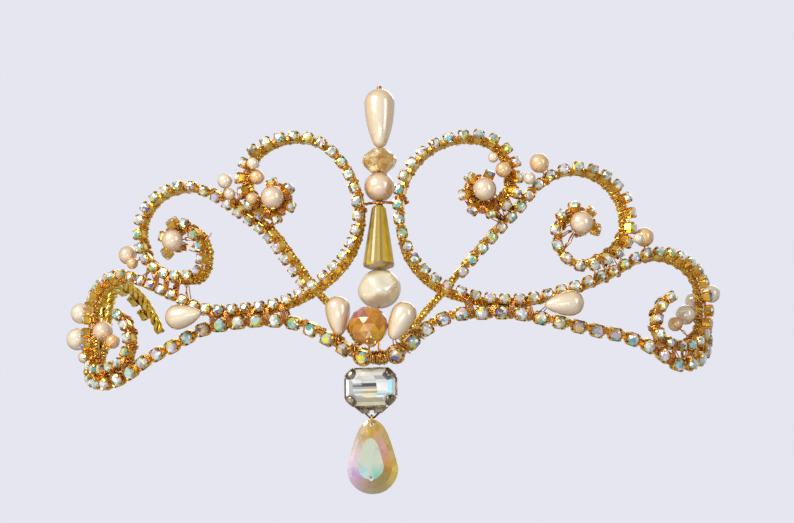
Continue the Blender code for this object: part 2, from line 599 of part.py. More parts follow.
def build_stack(parts):
    """The beads on the centre pin, from the foot up, and the pin."""
    foot, lean = stack_axis()
    cone = [(0.0, 0.5), (0.86 * CONE_TOP / 2, 0.5), (CONE_TOP / 2, 0.46), (CONE_FOOT / 2, -0.44),
            (0.80 * CONE_FOOT / 2, -0.5), (0.0, -0.5)]
    cone = [(radius, share * CONE_HEIGHT) for radius, share in cone]
    wide, tall = RONDELLE_DIAMETER / 2, RONDELLE_HEIGHT / 2
    rondelle = [(0.0, tall), (0.52 * wide, tall), (0.90 * wide, 0.45 * tall), (wide, 0.0),
                (0.90 * wide, -0.45 * tall), (0.52 * wide, -tall), (0.0, -tall)]
    beads = [
        ("baroque_pearl", ball_profile(BAROQUE_DIAMETER, BAROQUE_HEIGHT), "cream", LARGE_BEAD_SIDES, 60),
        ("cone_bead", cone, "olive", LARGE_BEAD_SIDES, None),
        ("round_pearl", ball_profile(ROUND_PEARL_DIAMETER, ROUND_PEARL_DIAMETER), "pearl", BEAD_SIDES, 60),
        ("rondelle", rondelle, "champagne", LARGE_BEAD_SIDES, None),
        ("top_drop", drop_profile(TOP_DROP_DIAMETER, TOP_DROP_HEIGHT), "pearl", BEAD_SIDES, 60),
    ]
    items = []
    height = STACK_FOOT
    for name, profile, finish_name, sides, angle in beads:
        outline = bored(profile)
        if name == "round_pearl":
            binding_height = height + BINDING_DIAMETER / 2
            height += BINDING_DIAMETER + CLEARANCE
        middle = height - min(point[1] for point in outline)
        mesh = turned_mesh(outline, name, sides, True)
        if name == "baroque_pearl":
            for vertex in mesh.vertices:
                angle_round = math.atan2(vertex.co.y, vertex.co.x)
                swell = 1.0 + BAROQUE_SWELL * math.sin(2 * angle_round + 0.6) * (vertex.co.xy.length > BORE_DIAMETER)
                vertex.co.x *= swell
                vertex.co.y *= swell
        turn_and_move(mesh, -lean, foot + lean * (middle / lean.z))
        items.append(finish(name, mesh, finish_name, parts, angle))
        height = middle + max(point[1] for point in outline) + CLEARANCE
    base_top = BASE_ROUTE[RIGHT][0][1] * MM + BASE_BINDING_DIAMETER / 2 + CLEARANCE
    pin = tube_mesh([foot + lean * base_top, foot + lean * (height + PIN_TOP)], PIN_DIAMETER, "finial_pin")
    items.append(finish("finial_pin", pin, "copper", parts, 40))
    return items, binding_height


def build_amber(parts):
    """The faceted bead in front of the pin's foot."""
    radius = AMBER_DIAMETER / 2
    shares = [(0.0, 0.93), (0.36, 0.93), (0.80, 0.60), (1.0, 0.16)]
    outline = shares + [(wide, -tall) for wide, tall in shares[::-1]]
    mesh = turned_mesh([(radius * wide, radius * tall) for wide, tall in outline], "amber_bead",
                       LARGE_BEAD_SIDES, False)
    out = PIN_OUT + radius + PIN_DIAMETER / 2 + CLEARANCE
    turn_and_move(mesh, Vector((0, 0, -1)), Vector((AMBER_ACROSS, -FRONT_DEPTH - out, AMBER_UP)))
    return finish("amber_bead", mesh, "amber", parts)


def build_cross_binding(parts, height):
    """The wire that ties the inner loops to the pin: behind the loops and before the pin."""
    foot, lean = stack_axis()
    middle = foot + lean * (height / lean.z)
    before = PIN_OUT + PIN_DIAMETER / 2 + CLEARANCE + BINDING_DIAMETER / 2
    behind = -(WIRE_DIAMETER / 2 + CLEARANCE + BINDING_DIAMETER / 2)
    places = [(-7.6, behind), (-4.2, behind), (-1.8, before), (1.8, before), (4.8, behind), (8.2, behind)]
    points = []
    for across, out in places:
        side = RIGHT if across > 0 else LEFT
        points.append(on_band(side, abs(across) * MM, height, out))
        points[-1].x += middle.x
    return finish("cross_binding", tube_mesh(points, BINDING_DIAMETER, "cross_binding"), "copper", parts, 40)


def octagon(width, height, corner):
    """The corners of a rectangle with its corners cut, in order round it."""
    x, y = width / 2, height / 2
    return [(x, y - corner), (x - corner, y), (corner - x, y), (-x, y - corner),
            (-x, corner - y), (corner - x, -y), (x - corner, -y), (x, corner - y)]


def loft(rings, name, ring_shaped=False):
    """A solid through rings of the same count, closed by its ends or into a ring of its own."""
    bm = bmesh.new()
    layers = [[bm.verts.new(point) for point in ring] for ring in rings]
    pairs = list(zip(layers, layers[1:]))
    if ring_shaped:
        pairs.append((layers[-1], layers[0]))
    for lower, upper in pairs:
        count = len(lower)
        for index in range(count):
            following = (index + 1) % count
            bm.faces.new([lower[index], lower[following], upper[following], upper[index]])
    if not ring_shaped:
        bm.faces.new(layers[0])
        bm.faces.new(layers[-1])
    return mesh_from(bm, name)


def facing_front(outline, middle, out):
    """An outline drawn as seen from the front, at a depth in front of a middle point."""
    return [middle + Vector((x, -out, z)) for x, z in outline]


def combine(mesh, tool_meshes, operation, name):
    """A mesh with others added to it or cut from it."""
    holder = bpy.data.objects.new(name + "_body", mesh)
    bpy.context.scene.collection.objects.link(holder)
    tools = []
    for index, tool_mesh in enumerate(tool_meshes):
        tool = bpy.data.objects.new(name + "_tool_" + str(index), tool_mesh)
        bpy.context.scene.collection.objects.link(tool)
        tools.append(tool)
        boolean = holder.modifiers.new("boolean", "BOOLEAN")
        boolean.operation = operation
        boolean.solver = "EXACT"
        boolean.object = tool
    graph = bpy.context.evaluated_depsgraph_get()
    result = bpy.data.meshes.new_from_object(holder.evaluated_get(graph))
    for item in [holder] + tools:
        bpy.data.objects.remove(item)
    bm = bmesh.new()
    bm.from_mesh(result)
    bmesh.ops.remove_doubles(bm, verts=bm.verts, dist=0.005 * MM)
    bpy.data.meshes.remove(result)
    return mesh_from(bm, name)


def build_octagon(parts):
    """The octagon stone in its setting, below the dip of the base band."""
    setting_height = STONE_HEIGHT + 2 * (CLEARANCE + SETTING_WALL)
    setting_width = STONE_WIDTH + 2 * (CLEARANCE + SETTING_WALL)
    middle = Vector((PENDANT_ACROSS, -FRONT_DEPTH - PENDANT_OUT, PENDANT_TOP - setting_height / 2))

    def cut(shrink, out):
        outline = octagon(STONE_WIDTH - 2 * shrink, STONE_HEIGHT - 2 * shrink, STONE_CORNER - 0.6 * shrink)
        return facing_front(outline, middle, out)

    stone = loft([cut(0.36 * STONE_HEIGHT, -STONE_PAVILION), cut(0.16 * STONE_HEIGHT, -0.6 * STONE_PAVILION),
                  cut(0.0, 0.0), cut(0.0, 0.12 * STONE_CROWN), cut(0.17 * STONE_HEIGHT, STONE_CROWN)],
                 "pendant_stone")
    items = [finish("pendant_stone", stone, "crystal", parts)]
    gap = -CLEARANCE
    rim = -CLEARANCE - SETTING_WALL
    taper = 0.21 * STONE_HEIGHT
    cup = loft([cut(rim, -0.1 * STONE_CROWN), cut(rim + 0.7 * taper, -SETTING_DEPTH),
                cut(gap + taper, -SETTING_DEPTH), cut(gap + 0.12 * taper, -0.1 * STONE_CROWN)],
               "pendant_setting", True)
    prongs = []
    inset = STONE_CORNER / 2
    for across in (-1, 1):
        for up in (-1, 1):
            corner = Vector((across * (STONE_WIDTH / 2 - inset), 0.0, up * (STONE_HEIGHT / 2 - inset)))
            outward = Vector((across, 0.0, up)).normalized()
            sideways = Vector((-up, 0.0, across)).normalized()
            near, far = CLEARANCE, CLEARANCE + SETTING_WALL
            top = 0.55 * STONE_CROWN + CLEARANCE
            foot = -0.2 * SETTING_DEPTH
            steps = [(near, foot), (far, foot), (far, top + SETTING_WALL),
                     (near - PRONG_REACH, top + 2 * SETTING_WALL), (near - PRONG_REACH, top + SETTING_WALL),
                     (near, top)]
            rings = []
            for edge in (-PRONG_WIDTH / 2, PRONG_WIDTH / 2):
                rings.append([middle + corner + outward * away + sideways * edge + Vector((0.0, -out, 0.0))
                              for away, out in steps])
            prongs.append(loft(rings, "prong"))
    setting = combine(cup, prongs, "UNION", "pendant_setting")
    items.append(finish("pendant_setting", setting, "antique", parts))
    return items, middle, setting_height


def build_bail(parts, middle, setting_height):
    """The bent wire behind the setting, with its dip below it. Returns the dip's middle too."""
    behind = SETTING_DEPTH + CLEARANCE + BAIL_DIAMETER / 2
    below = -setting_height / 2 - BAIL_DIAMETER
    half = [(BAIL_SPREAD, 0.1 * setting_height, -behind), (BAIL_SPREAD, 0.62 * below, -behind),
            (0.9 * BAIL_SPREAD, below, -0.7 * behind), (0.22 * BAIL_SPREAD, below - 0.86 * BAIL_DROP, -0.5 * behind)]
    points = [middle + Vector((across, -out, up)) for across, up, out in half]
    points += [middle + Vector((-across, -out, up)) for across, up, out in half[::-1]]
    dip = middle + Vector((0.0, 0.5 * behind, below - 0.86 * BAIL_DROP))
    mesh = tube_mesh(points, BAIL_DIAMETER, "pendant_bail")
    return finish("pendant_bail", mesh, "antique", parts, 40), dip


def pear_outline(width, length):
    """A pear seen from the front, round the middle of its round end."""
    radius = width / 2
    taper = length - radius
    turns = [math.pi * (step / 8 - 0.5) for step in range(9)]
    ball = [(radius * math.cos(turn - math.pi / 2), radius * math.sin(turn - math.pi / 2)) for turn in turns]
    shares = [(0.95, 0.22), (0.79, 0.48), (0.53, 0.76), (0.24, 0.95)]
    up_side = [(radius * wide, taper * tall) for wide, tall in shares]
    return ball + up_side + [(0.0, taper)] + [(-x, z) for x, z in up_side[::-1]]


def move_origin(item, point):
    """Puts an object's origin at a point, without moving its surface."""
    for vertex in item.data.vertices:
        vertex.co -= point
    item.location = point


def build_drop(parts, dip):
    """The ring on the bail and the pear stone on the ring, hanging plumb."""
    top = BAIL_DIAMETER / 2 + CLEARANCE + RING_WIRE / 2
    ring_middle = dip + Vector((0.0, 0.0, top - RING_DIAMETER / 2))
    bm = bmesh.new()
    turns = [math.tau * step / 14 for step in range(14)]
    sections = [math.tau * step / 6 for step in range(6)]
    layers = []
    for turn in turns:
        spoke = Vector((0.0, math.cos(turn), math.sin(turn)))
        layers.append([bm.verts.new(ring_middle + spoke * (RING_DIAMETER / 2 + RING_WIRE / 2 * math.cos(section))
                                    + Vector((RING_WIRE / 2 * math.sin(section), 0.0, 0.0)))
                       for section in sections])
    for index, layer in enumerate(layers):
        following = layers[(index + 1) % len(layers)]
        for step in range(6):
            bm.faces.new([layer[step], layer[(step + 1) % 6], following[(step + 1) % 6], following[step]])
    ring = finish("drop_ring", mesh_from(bm, "drop_ring"), "braid", parts, 40)
    hole = ring_middle - Vector((0.0, 0.0, RING_DIAMETER / 2))
    tip = hole + Vector((0.0, 0.0, PEAR_HOLE / 2 + PEAR_BRIDGE))
    centre = tip - Vector((0.0, 0.0, PEAR_LENGTH - PEAR_WIDTH / 2))
    outline = pear_outline(PEAR_WIDTH, PEAR_LENGTH)

    def layer(scale, tip_scale, out):
        shaped = [(x * scale, z * (tip_scale if z > 0.0 else scale)) for x, z in outline]
        return facing_front(shaped, centre, out - PEAR_EDGE / 2)

    body = loft([layer(1.0, 1.0, 0.0), layer(1.0, 1.0, PEAR_EDGE), layer(0.93, 0.78, 1.15 * PEAR_EDGE),
                 layer(0.74, 0.66, 0.68 * PEAR_THICKNESS), layer(0.46, 0.46, PEAR_THICKNESS)], "pear_drop")
    drills = []
    low_hole = centre - Vector((0.0, 0.0, PEAR_WIDTH / 2 - PEAR_LOW_BRIDGE - PEAR_HOLE / 2))
    for spot in (hole, low_hole):
        drill = bmesh.new()
        bmesh.ops.create_cone(drill, cap_ends=True, segments=10, radius1=PEAR_HOLE / 2, radius2=PEAR_HOLE / 2,
                              depth=3 * PEAR_THICKNESS)
        mesh = mesh_from(drill, "drill")
        turn_and_move(mesh, Vector((0, 1, 0)), spot)
        drills.append(mesh)
    pear = finish("pear_drop", combine(body, drills, "DIFFERENCE", "pear_drop"), "aurora", parts)
    for item in (ring, pear):
        move_origin(item, dip)
    return [ring, pear]


def build_pearls(parts, surroundings):
    """The single pearls and the teardrops, each one set against what is there already."""
    for name, side, across, up, point_angle, stop in TEARDROPS:
        mesh = turned_mesh(drop_profile(DROP_DIAMETER, DROP_HEIGHT), name, BEAD_SIDES, False)
        normal = band_normal(side, across * MM)
        away = Vector((0, 0, 1)).cross(normal) * side
        angle = math.radians(point_angle)
        pointing = away * math.cos(angle) + Vector((0, 0, 1)) * math.sin(angle)
        taper = DROP_HEIGHT - DROP_DIAMETER / 2
        shares = [(0.0, 1.0), (0.4, 0.86), (0.7, 0.58), (0.9, 0.34), (0.98, 0.1)]
        balls = [(pointing * taper * far, DROP_DIAMETER / 2 * wide) for far, wide in shares]
        start = on_band(side, across * MM, up * MM, 12 * MM)
        gone = surroundings.settle(start, -normal, balls, (12 - stop) * MM)
        turn_and_move(mesh, pointing, start - normal * gone)
        surroundings.add(finish(name, mesh, "pearl", parts, 60))
    for name, side, across, up, diameter, approach, stop in PEARLS:
        normal = band_normal(side, across * MM)
        start = on_band(side, across * MM, up * MM, -approach * 12 * MM)
        limit = (12 + approach * stop) * MM
        balls = [(Vector(), diameter * MM / 2)]
        gone = surroundings.settle(start, normal * approach, balls, limit)
        mesh = sphere_mesh(diameter * MM, name, BEAD_SIDES)
        turn_and_move(mesh, Vector((0, 0, -1)), start + normal * approach * gone)
        surroundings.add(finish(name, mesh, "pearl", parts, 60))


def main():
    for item in list(bpy.data.objects):
        bpy.data.objects.remove(item)
    parts = bpy.data.collections.new("rhinestone_tiara")
    bpy.context.scene.collection.children.link(parts)
    routes = build_routes()
    items = build_base(parts, routes) + build_scrolls(parts, routes)
    stack, binding_height = build_stack(parts)
    items += stack
    items.append(build_amber(parts))
    items.append(build_cross_binding(parts, binding_height))
    octagon_items, middle, setting_height = build_octagon(parts)
    bail, dip = build_bail(parts, middle, setting_height)
    items += octagon_items + [bail] + build_drop(parts, dip)
    bpy.context.view_layer.update()
    surroundings = Surroundings()
    for item in items:
        surroundings.add(item)
    build_pearls(parts, surroundings)


main()
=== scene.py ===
import math
import random

import bpy
import numpy as np
from mathutils import Matrix, Vector


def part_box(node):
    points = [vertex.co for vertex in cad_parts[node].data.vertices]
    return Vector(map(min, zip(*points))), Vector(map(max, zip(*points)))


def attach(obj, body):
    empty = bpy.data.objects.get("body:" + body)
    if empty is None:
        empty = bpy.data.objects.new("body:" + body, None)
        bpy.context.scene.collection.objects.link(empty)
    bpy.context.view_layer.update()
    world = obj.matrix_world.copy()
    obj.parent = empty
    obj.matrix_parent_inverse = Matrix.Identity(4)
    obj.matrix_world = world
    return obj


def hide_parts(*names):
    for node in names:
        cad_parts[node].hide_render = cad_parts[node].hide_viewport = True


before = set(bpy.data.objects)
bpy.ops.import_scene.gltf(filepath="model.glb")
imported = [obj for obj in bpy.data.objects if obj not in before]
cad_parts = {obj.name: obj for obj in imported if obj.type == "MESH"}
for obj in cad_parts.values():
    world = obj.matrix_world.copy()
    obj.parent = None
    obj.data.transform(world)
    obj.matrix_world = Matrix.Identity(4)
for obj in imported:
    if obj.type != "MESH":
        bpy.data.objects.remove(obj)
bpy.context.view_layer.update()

MM = 0.001
UP = (0.0, 0.0, 1.0)
ACROSS = (1.0, 0.0, 0.0)
LEFT, RIGHT = -1, 1
SIDE_NAMES = {LEFT: "left", RIGHT: "right"}
draw = random.Random(41)

# The band and its routes, as in the part's source
HALF_WIDTH = 84.5
FRONT_DEPTH = 44.0
WIRE_RADIUS = 1.1
CHAIN_LIFT = 1.4
CHAIN = {"pitch": 3.85, "width": 3.0, "height": 1.9}
BASE_CHAIN = {"pitch": 5.1, "width": 3.7, "height": 2.2}
BASE_BARE_LENGTH = 3.4
BASE_WIRE_LENGTH = {RIGHT: 111.0, LEFT: 114.0}
MIDDLE_BARE_LENGTH = {RIGHT: 22.0, LEFT: 20.6}

# Each row is a place that the wire's middle passes: (across, up, out, lean). The chain sits on the
# wire's front, turned by lean.
BASE_ROUTE = {
    RIGHT: [
        (0, 2.6, 0, -22), (4, 3.8, 0, -24), (11.2, 9.9, 0, -22), (18, 13.1, 0, -14), (26, 13.6, 0, -9),
        (35, 13.5, 0, -9), (44, 12.3, 0, -18), (55, 10.3, 0, -22), (65, 8.6, 0, -22), (73, 5.9, 0, -22),
        (80, 2.6, 0, -22), (87, 4, -0.5, -20), (94, 7.6, -1.5, -10), (99.5, 13, -2.5, 0),
        (102, 19.5, -2.5, 0),
    ],
    LEFT: [
        (0, 2.6, 0, -22), (4, 3.4, 0, -24), (12, 8.1, 0, -24), (20.5, 12.5, 0, -18), (29, 13.6, 0, -9),
        (38, 13.5, 0, -9), (46.5, 12.9, 0, -14), (56, 9.7, 0, -22), (66, 6.2, 0, -22), (72.5, 3.3, 0, -24),
        (79, 2.4, 0, -26), (86, 3.4, -0.5, -22), (93.5, 5.6, -1.2, -14), (100.5, 8.6, -2, -6),
        (105.6, 14.6, -2, 0), (107.8, 22.4, -2, 0), (110.6, 30, -2, 0), (116, 34.2, -2, 0),
        (122.4, 32.4, -2, 0), (127.6, 27.4, -2, 0), (131, 21, -2, 0),
    ],
}
SCROLL_ROUTE = {
    RIGHT: [
        (33.6, 46, 1, -54), (34.2, 52, 0, -48), (29.6, 58.2, 0, -28), (22, 59.5, 0, -15),
        (13, 55.9, 0, -13), (7.4, 48.5, 0, -16), (5.9, 39, 0, -6), (7.2, 29.5, 0, 22), (14, 20.9, 0, 32),
        (24, 16.9, 0, 22), (36, 16.2, 0, 14), (50, 19.6, 0, 15), (61.5, 24.4, 0, 15), (71.5, 29.6, 0, 17),
        (83, 29.4, 0, 25), (92, 24.4, 0, 25), (94, 17, 0, 22), (89, 9.8, 0, 10), (81.5, 6.8, 0, 4),
        (74.8, 9.2, 0, 10), (74.4, 14, 0, 10), (77.2, 18, 0, 12), (81.2, 19.7, 0, 14),
    ],
    LEFT: [
        (32.4, 46.2, 1, -58), (34.9, 51.4, 0, -54), (32.4, 57.4, 0, -34), (25.6, 61.1, 0, -10),
        (16.5, 60.4, 0, -6), (9, 54.2, 0, 2), (5, 46, 0, 10), (4.4, 37.5, 0, 14), (7.4, 29, 0, 28),
        (15, 21.5, 0, 30), (25, 17, 0, 20), (36.5, 16.2, 0, 14), (46.5, 17, 0, 12), (57, 22.4, 0, 4),
        (66, 26.7, 0, 6), (75, 29.2, 0, 18), (85, 27.4, 0, 26), (92.5, 21.5, 0, 28), (93.5, 13.5, 0, 22),
        (88, 6.9, 0, 6), (80, 5.3, 0, 0), (73.4, 7.2, 0, 6), (71.8, 12, 0, 10), (73.6, 16.6, 0, 12),
        (77.8, 20, 0, 14),
    ],
}
MIDDLE_ROUTE = {
    RIGHT: [
        (5.6, 7, -2.6, 0), (9.6, 12, -2.6, 0), (17, 20.2, -2.7, -15), (24, 28.4, -1.6, -15),
        (30.5, 35.6, -2, -15), (36.6, 42.2, -2, -15), (43, 48.4, -1, 0), (52, 51.6, 0, 14),
        (60.5, 48.8, 0, 24), (65.2, 42, 0, 38), (64.6, 34.4, 0, 38), (58.8, 29, 0, 30), (51.6, 27.2, 0, 22),
        (47.6, 30.6, 0, 20), (47.9, 36.8, 0.4, 34),
    ],
    LEFT: [
        (5.6, 6.4, -2.6, 0), (10.6, 14, -2.6, 0), (16.4, 20.4, -2.7, -30), (22.6, 29.2, -1.8, -34),
        (29.4, 38.2, -2.2, -34), (37, 44.2, -2, -30), (45, 49.2, -1, -16), (53, 51, 0, 8),
        (61.8, 49.4, 0, 0), (67.3, 43.6, 0, -5), (67, 36, 0, -5), (61.6, 29.4, 0, -8), (54.6, 26.4, 0, -16),
        (48.2, 26.6, 0, -32), (46.4, 31.6, 0, -34), (49, 38.4, 0.2, -22),
    ],
}
INNER_CURL = {
    RIGHT: {"middle": (27.5, 45.4), "radii": (1.8, 3.8), "start": 40, "turn": 270, "out": 1.2, "lean": -62},
    LEFT: {"middle": (27.2, 45.4), "radii": (1.9, 2.9), "start": 50, "turn": 255, "out": 1.2, "lean": -66},
}
MIDDLE_CURL = {
    RIGHT: {"middle": (52.6, 36.9), "radii": (1.7, 2.9), "start": -110, "turn": 245, "out": 0.8, "lean": 62},
    LEFT: {"middle": (55.0, 36.9), "radii": (1.7, 3.2), "start": -130, "turn": 230, "out": 0.8, "lean": 62},
}
CURL_STEP = 45
ROUTE_STEP = 0.25

# Radii of the binding wires, the spacing of close turns, and the points of a turn
SEAT_WIRE, TIE_WIRE, STRAND_WIRE, LASH_WIRE, DIP_WIRE_RADIUS = 0.10, 0.14, 0.15, 0.17, 0.23
WRAP_SPACING = 0.34
COIL_STEPS, LASH_STEPS = 13, 18


def unit(vectors):
    """Vectors of length 1 in the same directions."""
    vectors = np.asarray(vectors, float)
    return vectors / np.maximum(np.linalg.norm(vectors, axis=-1, keepdims=True), 1e-9)


def squared(vectors, along):
    """Vectors turned square to a line, at length 1."""
    return unit(vectors - along * (vectors * along).sum(-1, keepdims=True))


def run_of(points):
    """The length along a line of points, at each of them."""
    return np.concatenate([[0.0], np.cumsum(np.linalg.norm(np.diff(points, axis=0), axis=1))])


PLAN_ANGLES = np.linspace(0.0, math.pi, 721)
PLAN_LENGTHS = run_of(np.stack([HALF_WIDTH * np.sin(PLAN_ANGLES), FRONT_DEPTH * np.cos(PLAN_ANGLES)], 1))


def band_normal(side, across):
    angle = np.interp(across, PLAN_LENGTHS, PLAN_ANGLES)
    return unit([side * math.sin(angle) / HALF_WIDTH, -math.cos(angle) / FRONT_DEPTH, 0.0])


def on_band(side, across, up, out=0.0):
    if across < 0.0:
        side, across = -side, -across
    angle = np.interp(across, PLAN_LENGTHS, PLAN_ANGLES)
    foot = np.array([side * HALF_WIDTH * math.sin(angle), -FRONT_DEPTH * math.cos(angle), up])
    return foot + band_normal(side, across) * out


def curl_rows(curl):
    """A scroll's rows round its flower, from the inside out."""
    (across, up), (inner, outer) = curl["middle"], curl["radii"]
    rows = []
    count = round(curl["turn"] / CURL_STEP)
    for share in np.arange(count) / count:
        angle = math.radians(curl["start"] + share * curl["turn"])
        radius = inner + share * (outer - inner)
        rows.append((across + radius * math.cos(angle), up + radius * math.sin(angle),
                     curl["out"], curl["lean"]))
    return rows


def smooth_rows(rows):
    """Rows about a quarter of a millimetre apart, on one smooth curve through those given."""
    points = np.array(rows, dtype=float)
    knots = run_of(points[:, :3])
    slopes = np.gradient(points, knots, axis=0, edge_order=2)
    samples = []
    for index, span in enumerate(np.diff(knots)):
        count = max(2, math.ceil(span / ROUTE_STEP))
        for share in np.arange(count) / count:
            blend = 3 * share ** 2 - 2 * share ** 3
            samples.append((1 - blend) * points[index] + blend * points[index + 1]
                           + span * share * (1 - share) ** 2 * slopes[index]
                           - span * share ** 2 * (1 - share) * slopes[index + 1])
    return np.array(samples + [points[-1]])


class Route:
    """A wire's middle line, with the direction that its chain sits in."""

    def __init__(self, side, rows):
        rows = smooth_rows(rows)
        self.points = np.array([on_band(side, *row[:3]) for row in rows])
        along = unit(np.gradient(self.points, axis=0))
        outward = squared(np.array([band_normal(side, row[0]) for row in rows]), along)
        lean = np.radians(rows[:, 3])[:, None]
        self.faces = outward * np.cos(lean) + np.cross(outward, along) * side * np.sin(lean)
        self.seats = self.points + self.faces * CHAIN_LIFT
        self.lengths = run_of(self.seats)

    def at(self, place):
        """The wire's middle, the chain's direction and the wire's, at a place along the chain's foot."""
        index = np.interp(place, self.lengths, np.arange(len(self.points)))
        low = min(int(index), len(self.points) - 2)
        share = index - low
        face = unit(self.faces[low] * (1 - share) + self.faces[low + 1] * share)
        middle = self.points[low] * (1 - share) + self.points[low + 1] * share
        low = min(max(low, 2), len(self.points) - 4)
        return middle, face, squared(unit(self.seats[low + 3] - self.seats[low - 2]), face)


ROUTES = {}
for side in (RIGHT, LEFT):
    ROUTES["base", side] = Route(side, BASE_ROUTE[side])
    ROUTES["long_scroll", side] = Route(side, curl_rows(INNER_CURL[side]) + SCROLL_ROUTE[side])
    ROUTES["middle_scroll", side] = Route(side, MIDDLE_ROUTE[side] + curl_rows(MIDDLE_CURL[side])[::-1])


# Materials
def rgb(code):
    """A colour code as scene colours."""
    shares = [int(code[i:i + 2], 16) / 255 for i in (0, 2, 4)]
    return [s / 12.92 if s <= 0.04045 else ((s + 0.055) / 1.055) ** 2.4 for s in shares]


def lit(code, level):
    """A colour code as scene colours, lighter or darker."""
    return tuple(min(1.0, share * level) for share in rgb(code))


def set_sockets(owner, node, sockets):
    """Gives sockets, by their names, a value or a link from another node's socket."""
    for name, value in sockets.items():
        socket = node.inputs[name.replace("_", " ")]
        if isinstance(value, bpy.types.NodeSocket):
            owner.node_tree.links.new(value, socket)
        else:
            socket.default_value = value


def add_node(owner, kind, **sockets):
    node = owner.node_tree.nodes.new("ShaderNode" + kind)
    set_sockets(owner, node, sockets)
    return node


def dress(material, **sockets):
    """Sets the sockets of a material's shader."""
    set_sockets(material, material.node_tree.nodes["Principled BSDF"], sockets)


def new_material(name, colour, **sockets):
    material = bpy.data.materials.new(name)
    material.use_nodes = True
    dress(material, Base_Color=(*rgb(colour), 1.0), **sockets)
    return material


def noise(material, scale, detail=3.0):
    """A noise in the object's own space, with features a few tenths of a millimetre across."""
    place = add_node(material, "TexCoord").outputs["Object"]
    texture = add_node(material, "TexNoise", Scale=scale, Detail=detail, Roughness=0.6, Vector=place)
    return texture.outputs["Fac"]


def ramp(material, factor, stops):
    """Colours along a factor: [(place, colour code), ...]."""
    node = add_node(material, "ValToRGB", Fac=factor)
    while len(node.color_ramp.elements) < len(stops):
        node.color_ramp.elements.new(0.5)
    for element, (place, code) in zip(node.color_ramp.elements, stops):
        element.position = place
        element.color = (*rgb(code), 1.0)
    return node.outputs["Color"]


def spread(material, factor, low, high):
    """A factor mapped to a range."""
    return add_node(material, "MapRange", To_Min=low, To_Max=high, Value=factor).outputs["Result"]


def bump(material, factor, depth):
    return add_node(material, "Bump", Strength=1.0, Distance=depth * MM, Height=factor).outputs["Normal"]


def multiplied(material, share, first, second):
    """A colour multiplied by another, by a share."""
    node = add_node(material, "Mix")
    node.data_type, node.blend_type = "RGBA", "MULTIPLY"
    set_sockets(material, node, {"Factor": share, "A": first, "B": second})
    return node.outputs["Result"]


def metal(name, stops, roughness, scale=800, depth=0.01):
    """A worn plated metal: its colour wanders through the stops."""
    material = new_material(name, stops[0][1], Metallic=1.0)
    dress(material, Base_Color=ramp(material, noise(material, scale), stops),
          Roughness=spread(material, noise(material, scale * 2.3), *roughness),
          Normal=bump(material, noise(material, scale * 1.7), depth))
    return material


def tinted(name, roughness, scale, flecks, **sockets):
    """Cut glass: each facet has its own tint, clouded a little."""
    material = new_material(name, "ffffff", Roughness=roughness, **sockets)
    cloud = ramp(material, noise(material, scale, 4.0),
                 [(0.30, "8a8a88"), (0.52, "ffffff"), (0.75, "fff6e6")])
    tint = add_node(material, "Attribute")
    tint.attribute_name = "tint"
    dress(material, Base_Color=multiplied(material, flecks, tint.outputs["Color"], cloud))
    return material


def pearl_material(name, core, edge, painted_sheen, roughness):
    """Pearl coating under a thin clear coat: a painted sheen where the surface faces the view, and painted
    shade, darker and warmer, towards its edge.
    """
    material = new_material(name, core, Metallic=0.22, Coat_Weight=1.0, Coat_Roughness=0.15, Coat_IOR=1.85,
                            Specular_IOR_Level=0.45)
    # Painted light and shade: the painted sheen colour where the surface faces the view, then the core, then
    # the edge colour as painted shade
    facing = add_node(material, "LayerWeight", Blend=0.5).outputs["Facing"]
    skin = ramp(material, facing, [(0.0, painted_sheen), (0.40, core), (0.86, edge)])
    cloud = ramp(material, noise(material, 260), [(0.3, "eae2d2"), (0.7, "ffffff")])
    dress(material, Base_Color=multiplied(material, 0.25, skin, cloud),
          Roughness=spread(material, noise(material, 900), roughness - 0.08, roughness + 0.1),
          Normal=bump(material, noise(material, 500), 0.008))
    return material


GOLD_BRAID = metal("gold_braid", [(0.25, "8e6c20"), (0.42, "d0a43a"), (0.6, "efc65a"), (0.8, "fff2b2")],
                   (0.14, 0.34), 1300, 0.05)
# The braid's core: a darker gold that is painted shade in the gaps between the strands
PAINTED_SHADE_CORE = metal("gold_core_painted_shade", [(0.3, "52390e"), (0.7, "90681e")], (0.3, 0.5), 900, 0.02)
CUP_GOLD = metal("cup_gold", [(0.28, "c89228"), (0.5, "edba48"), (0.75, "ffde80")], (0.12, 0.30), 700, 0.02)
REAR_GOLD = metal("rear_gold", [(0.28, "b08c26"), (0.5, "e8c048"), (0.75, "fff2a0")], (0.14, 0.34), 420, 0.06)
BINDING = metal("binding_wire", [(0.3, "bc8038"), (0.55, "e4a854"), (0.8, "fcd492")], (0.14, 0.3))
COPPER = metal("copper_wire", [(0.3, "b4743a"), (0.55, "dc9e5a"), (0.8, "f8cc94")], (0.14, 0.3))
DIP_WIRE = metal("dip_wire", [(0.3, "b07a34"), (0.55, "deaa52"), (0.8, "ffe4a0")], (0.12, 0.26))
ANTIQUE = metal("antique_metal", [(0.3, "574c3a"), (0.5, "94866c"), (0.75, "dcd2b8")], (0.18, 0.4), 600, 0.03)
STONE = tinted("cut_stone", 0.06, 900, 0.25, Metallic=0.35, Coat_Weight=0.6, Coat_Roughness=0.02)
PENDANT_GLASS = tinted("pendant_glass", 0.05, 260, 0.20, Metallic=0.25, Coat_Weight=0.8, Coat_Roughness=0.02)
PEAR_GLASS = tinted("pear_glass", 0.08, 240, 0.30, Metallic=0.25, Coat_Weight=0.8, Coat_Roughness=0.02)
AMBER = tinted("amber_glass", 0.12, 320, 0.30, Transmission_Weight=0.35, IOR=1.45, Coat_Weight=0.6,
               Coat_Roughness=0.05)
OLIVE = tinted("olive_glass", 0.34, 420, 0.30, Transmission_Weight=0.15, IOR=1.45, Coat_Weight=0.15,
               Coat_Roughness=0.15)
CHAMPAGNE = tinted("champagne_glass", 0.05, 420, 0.25, Transmission_Weight=0.6, IOR=1.5,
                   Coat_Weight=0.6, Coat_Roughness=0.02)
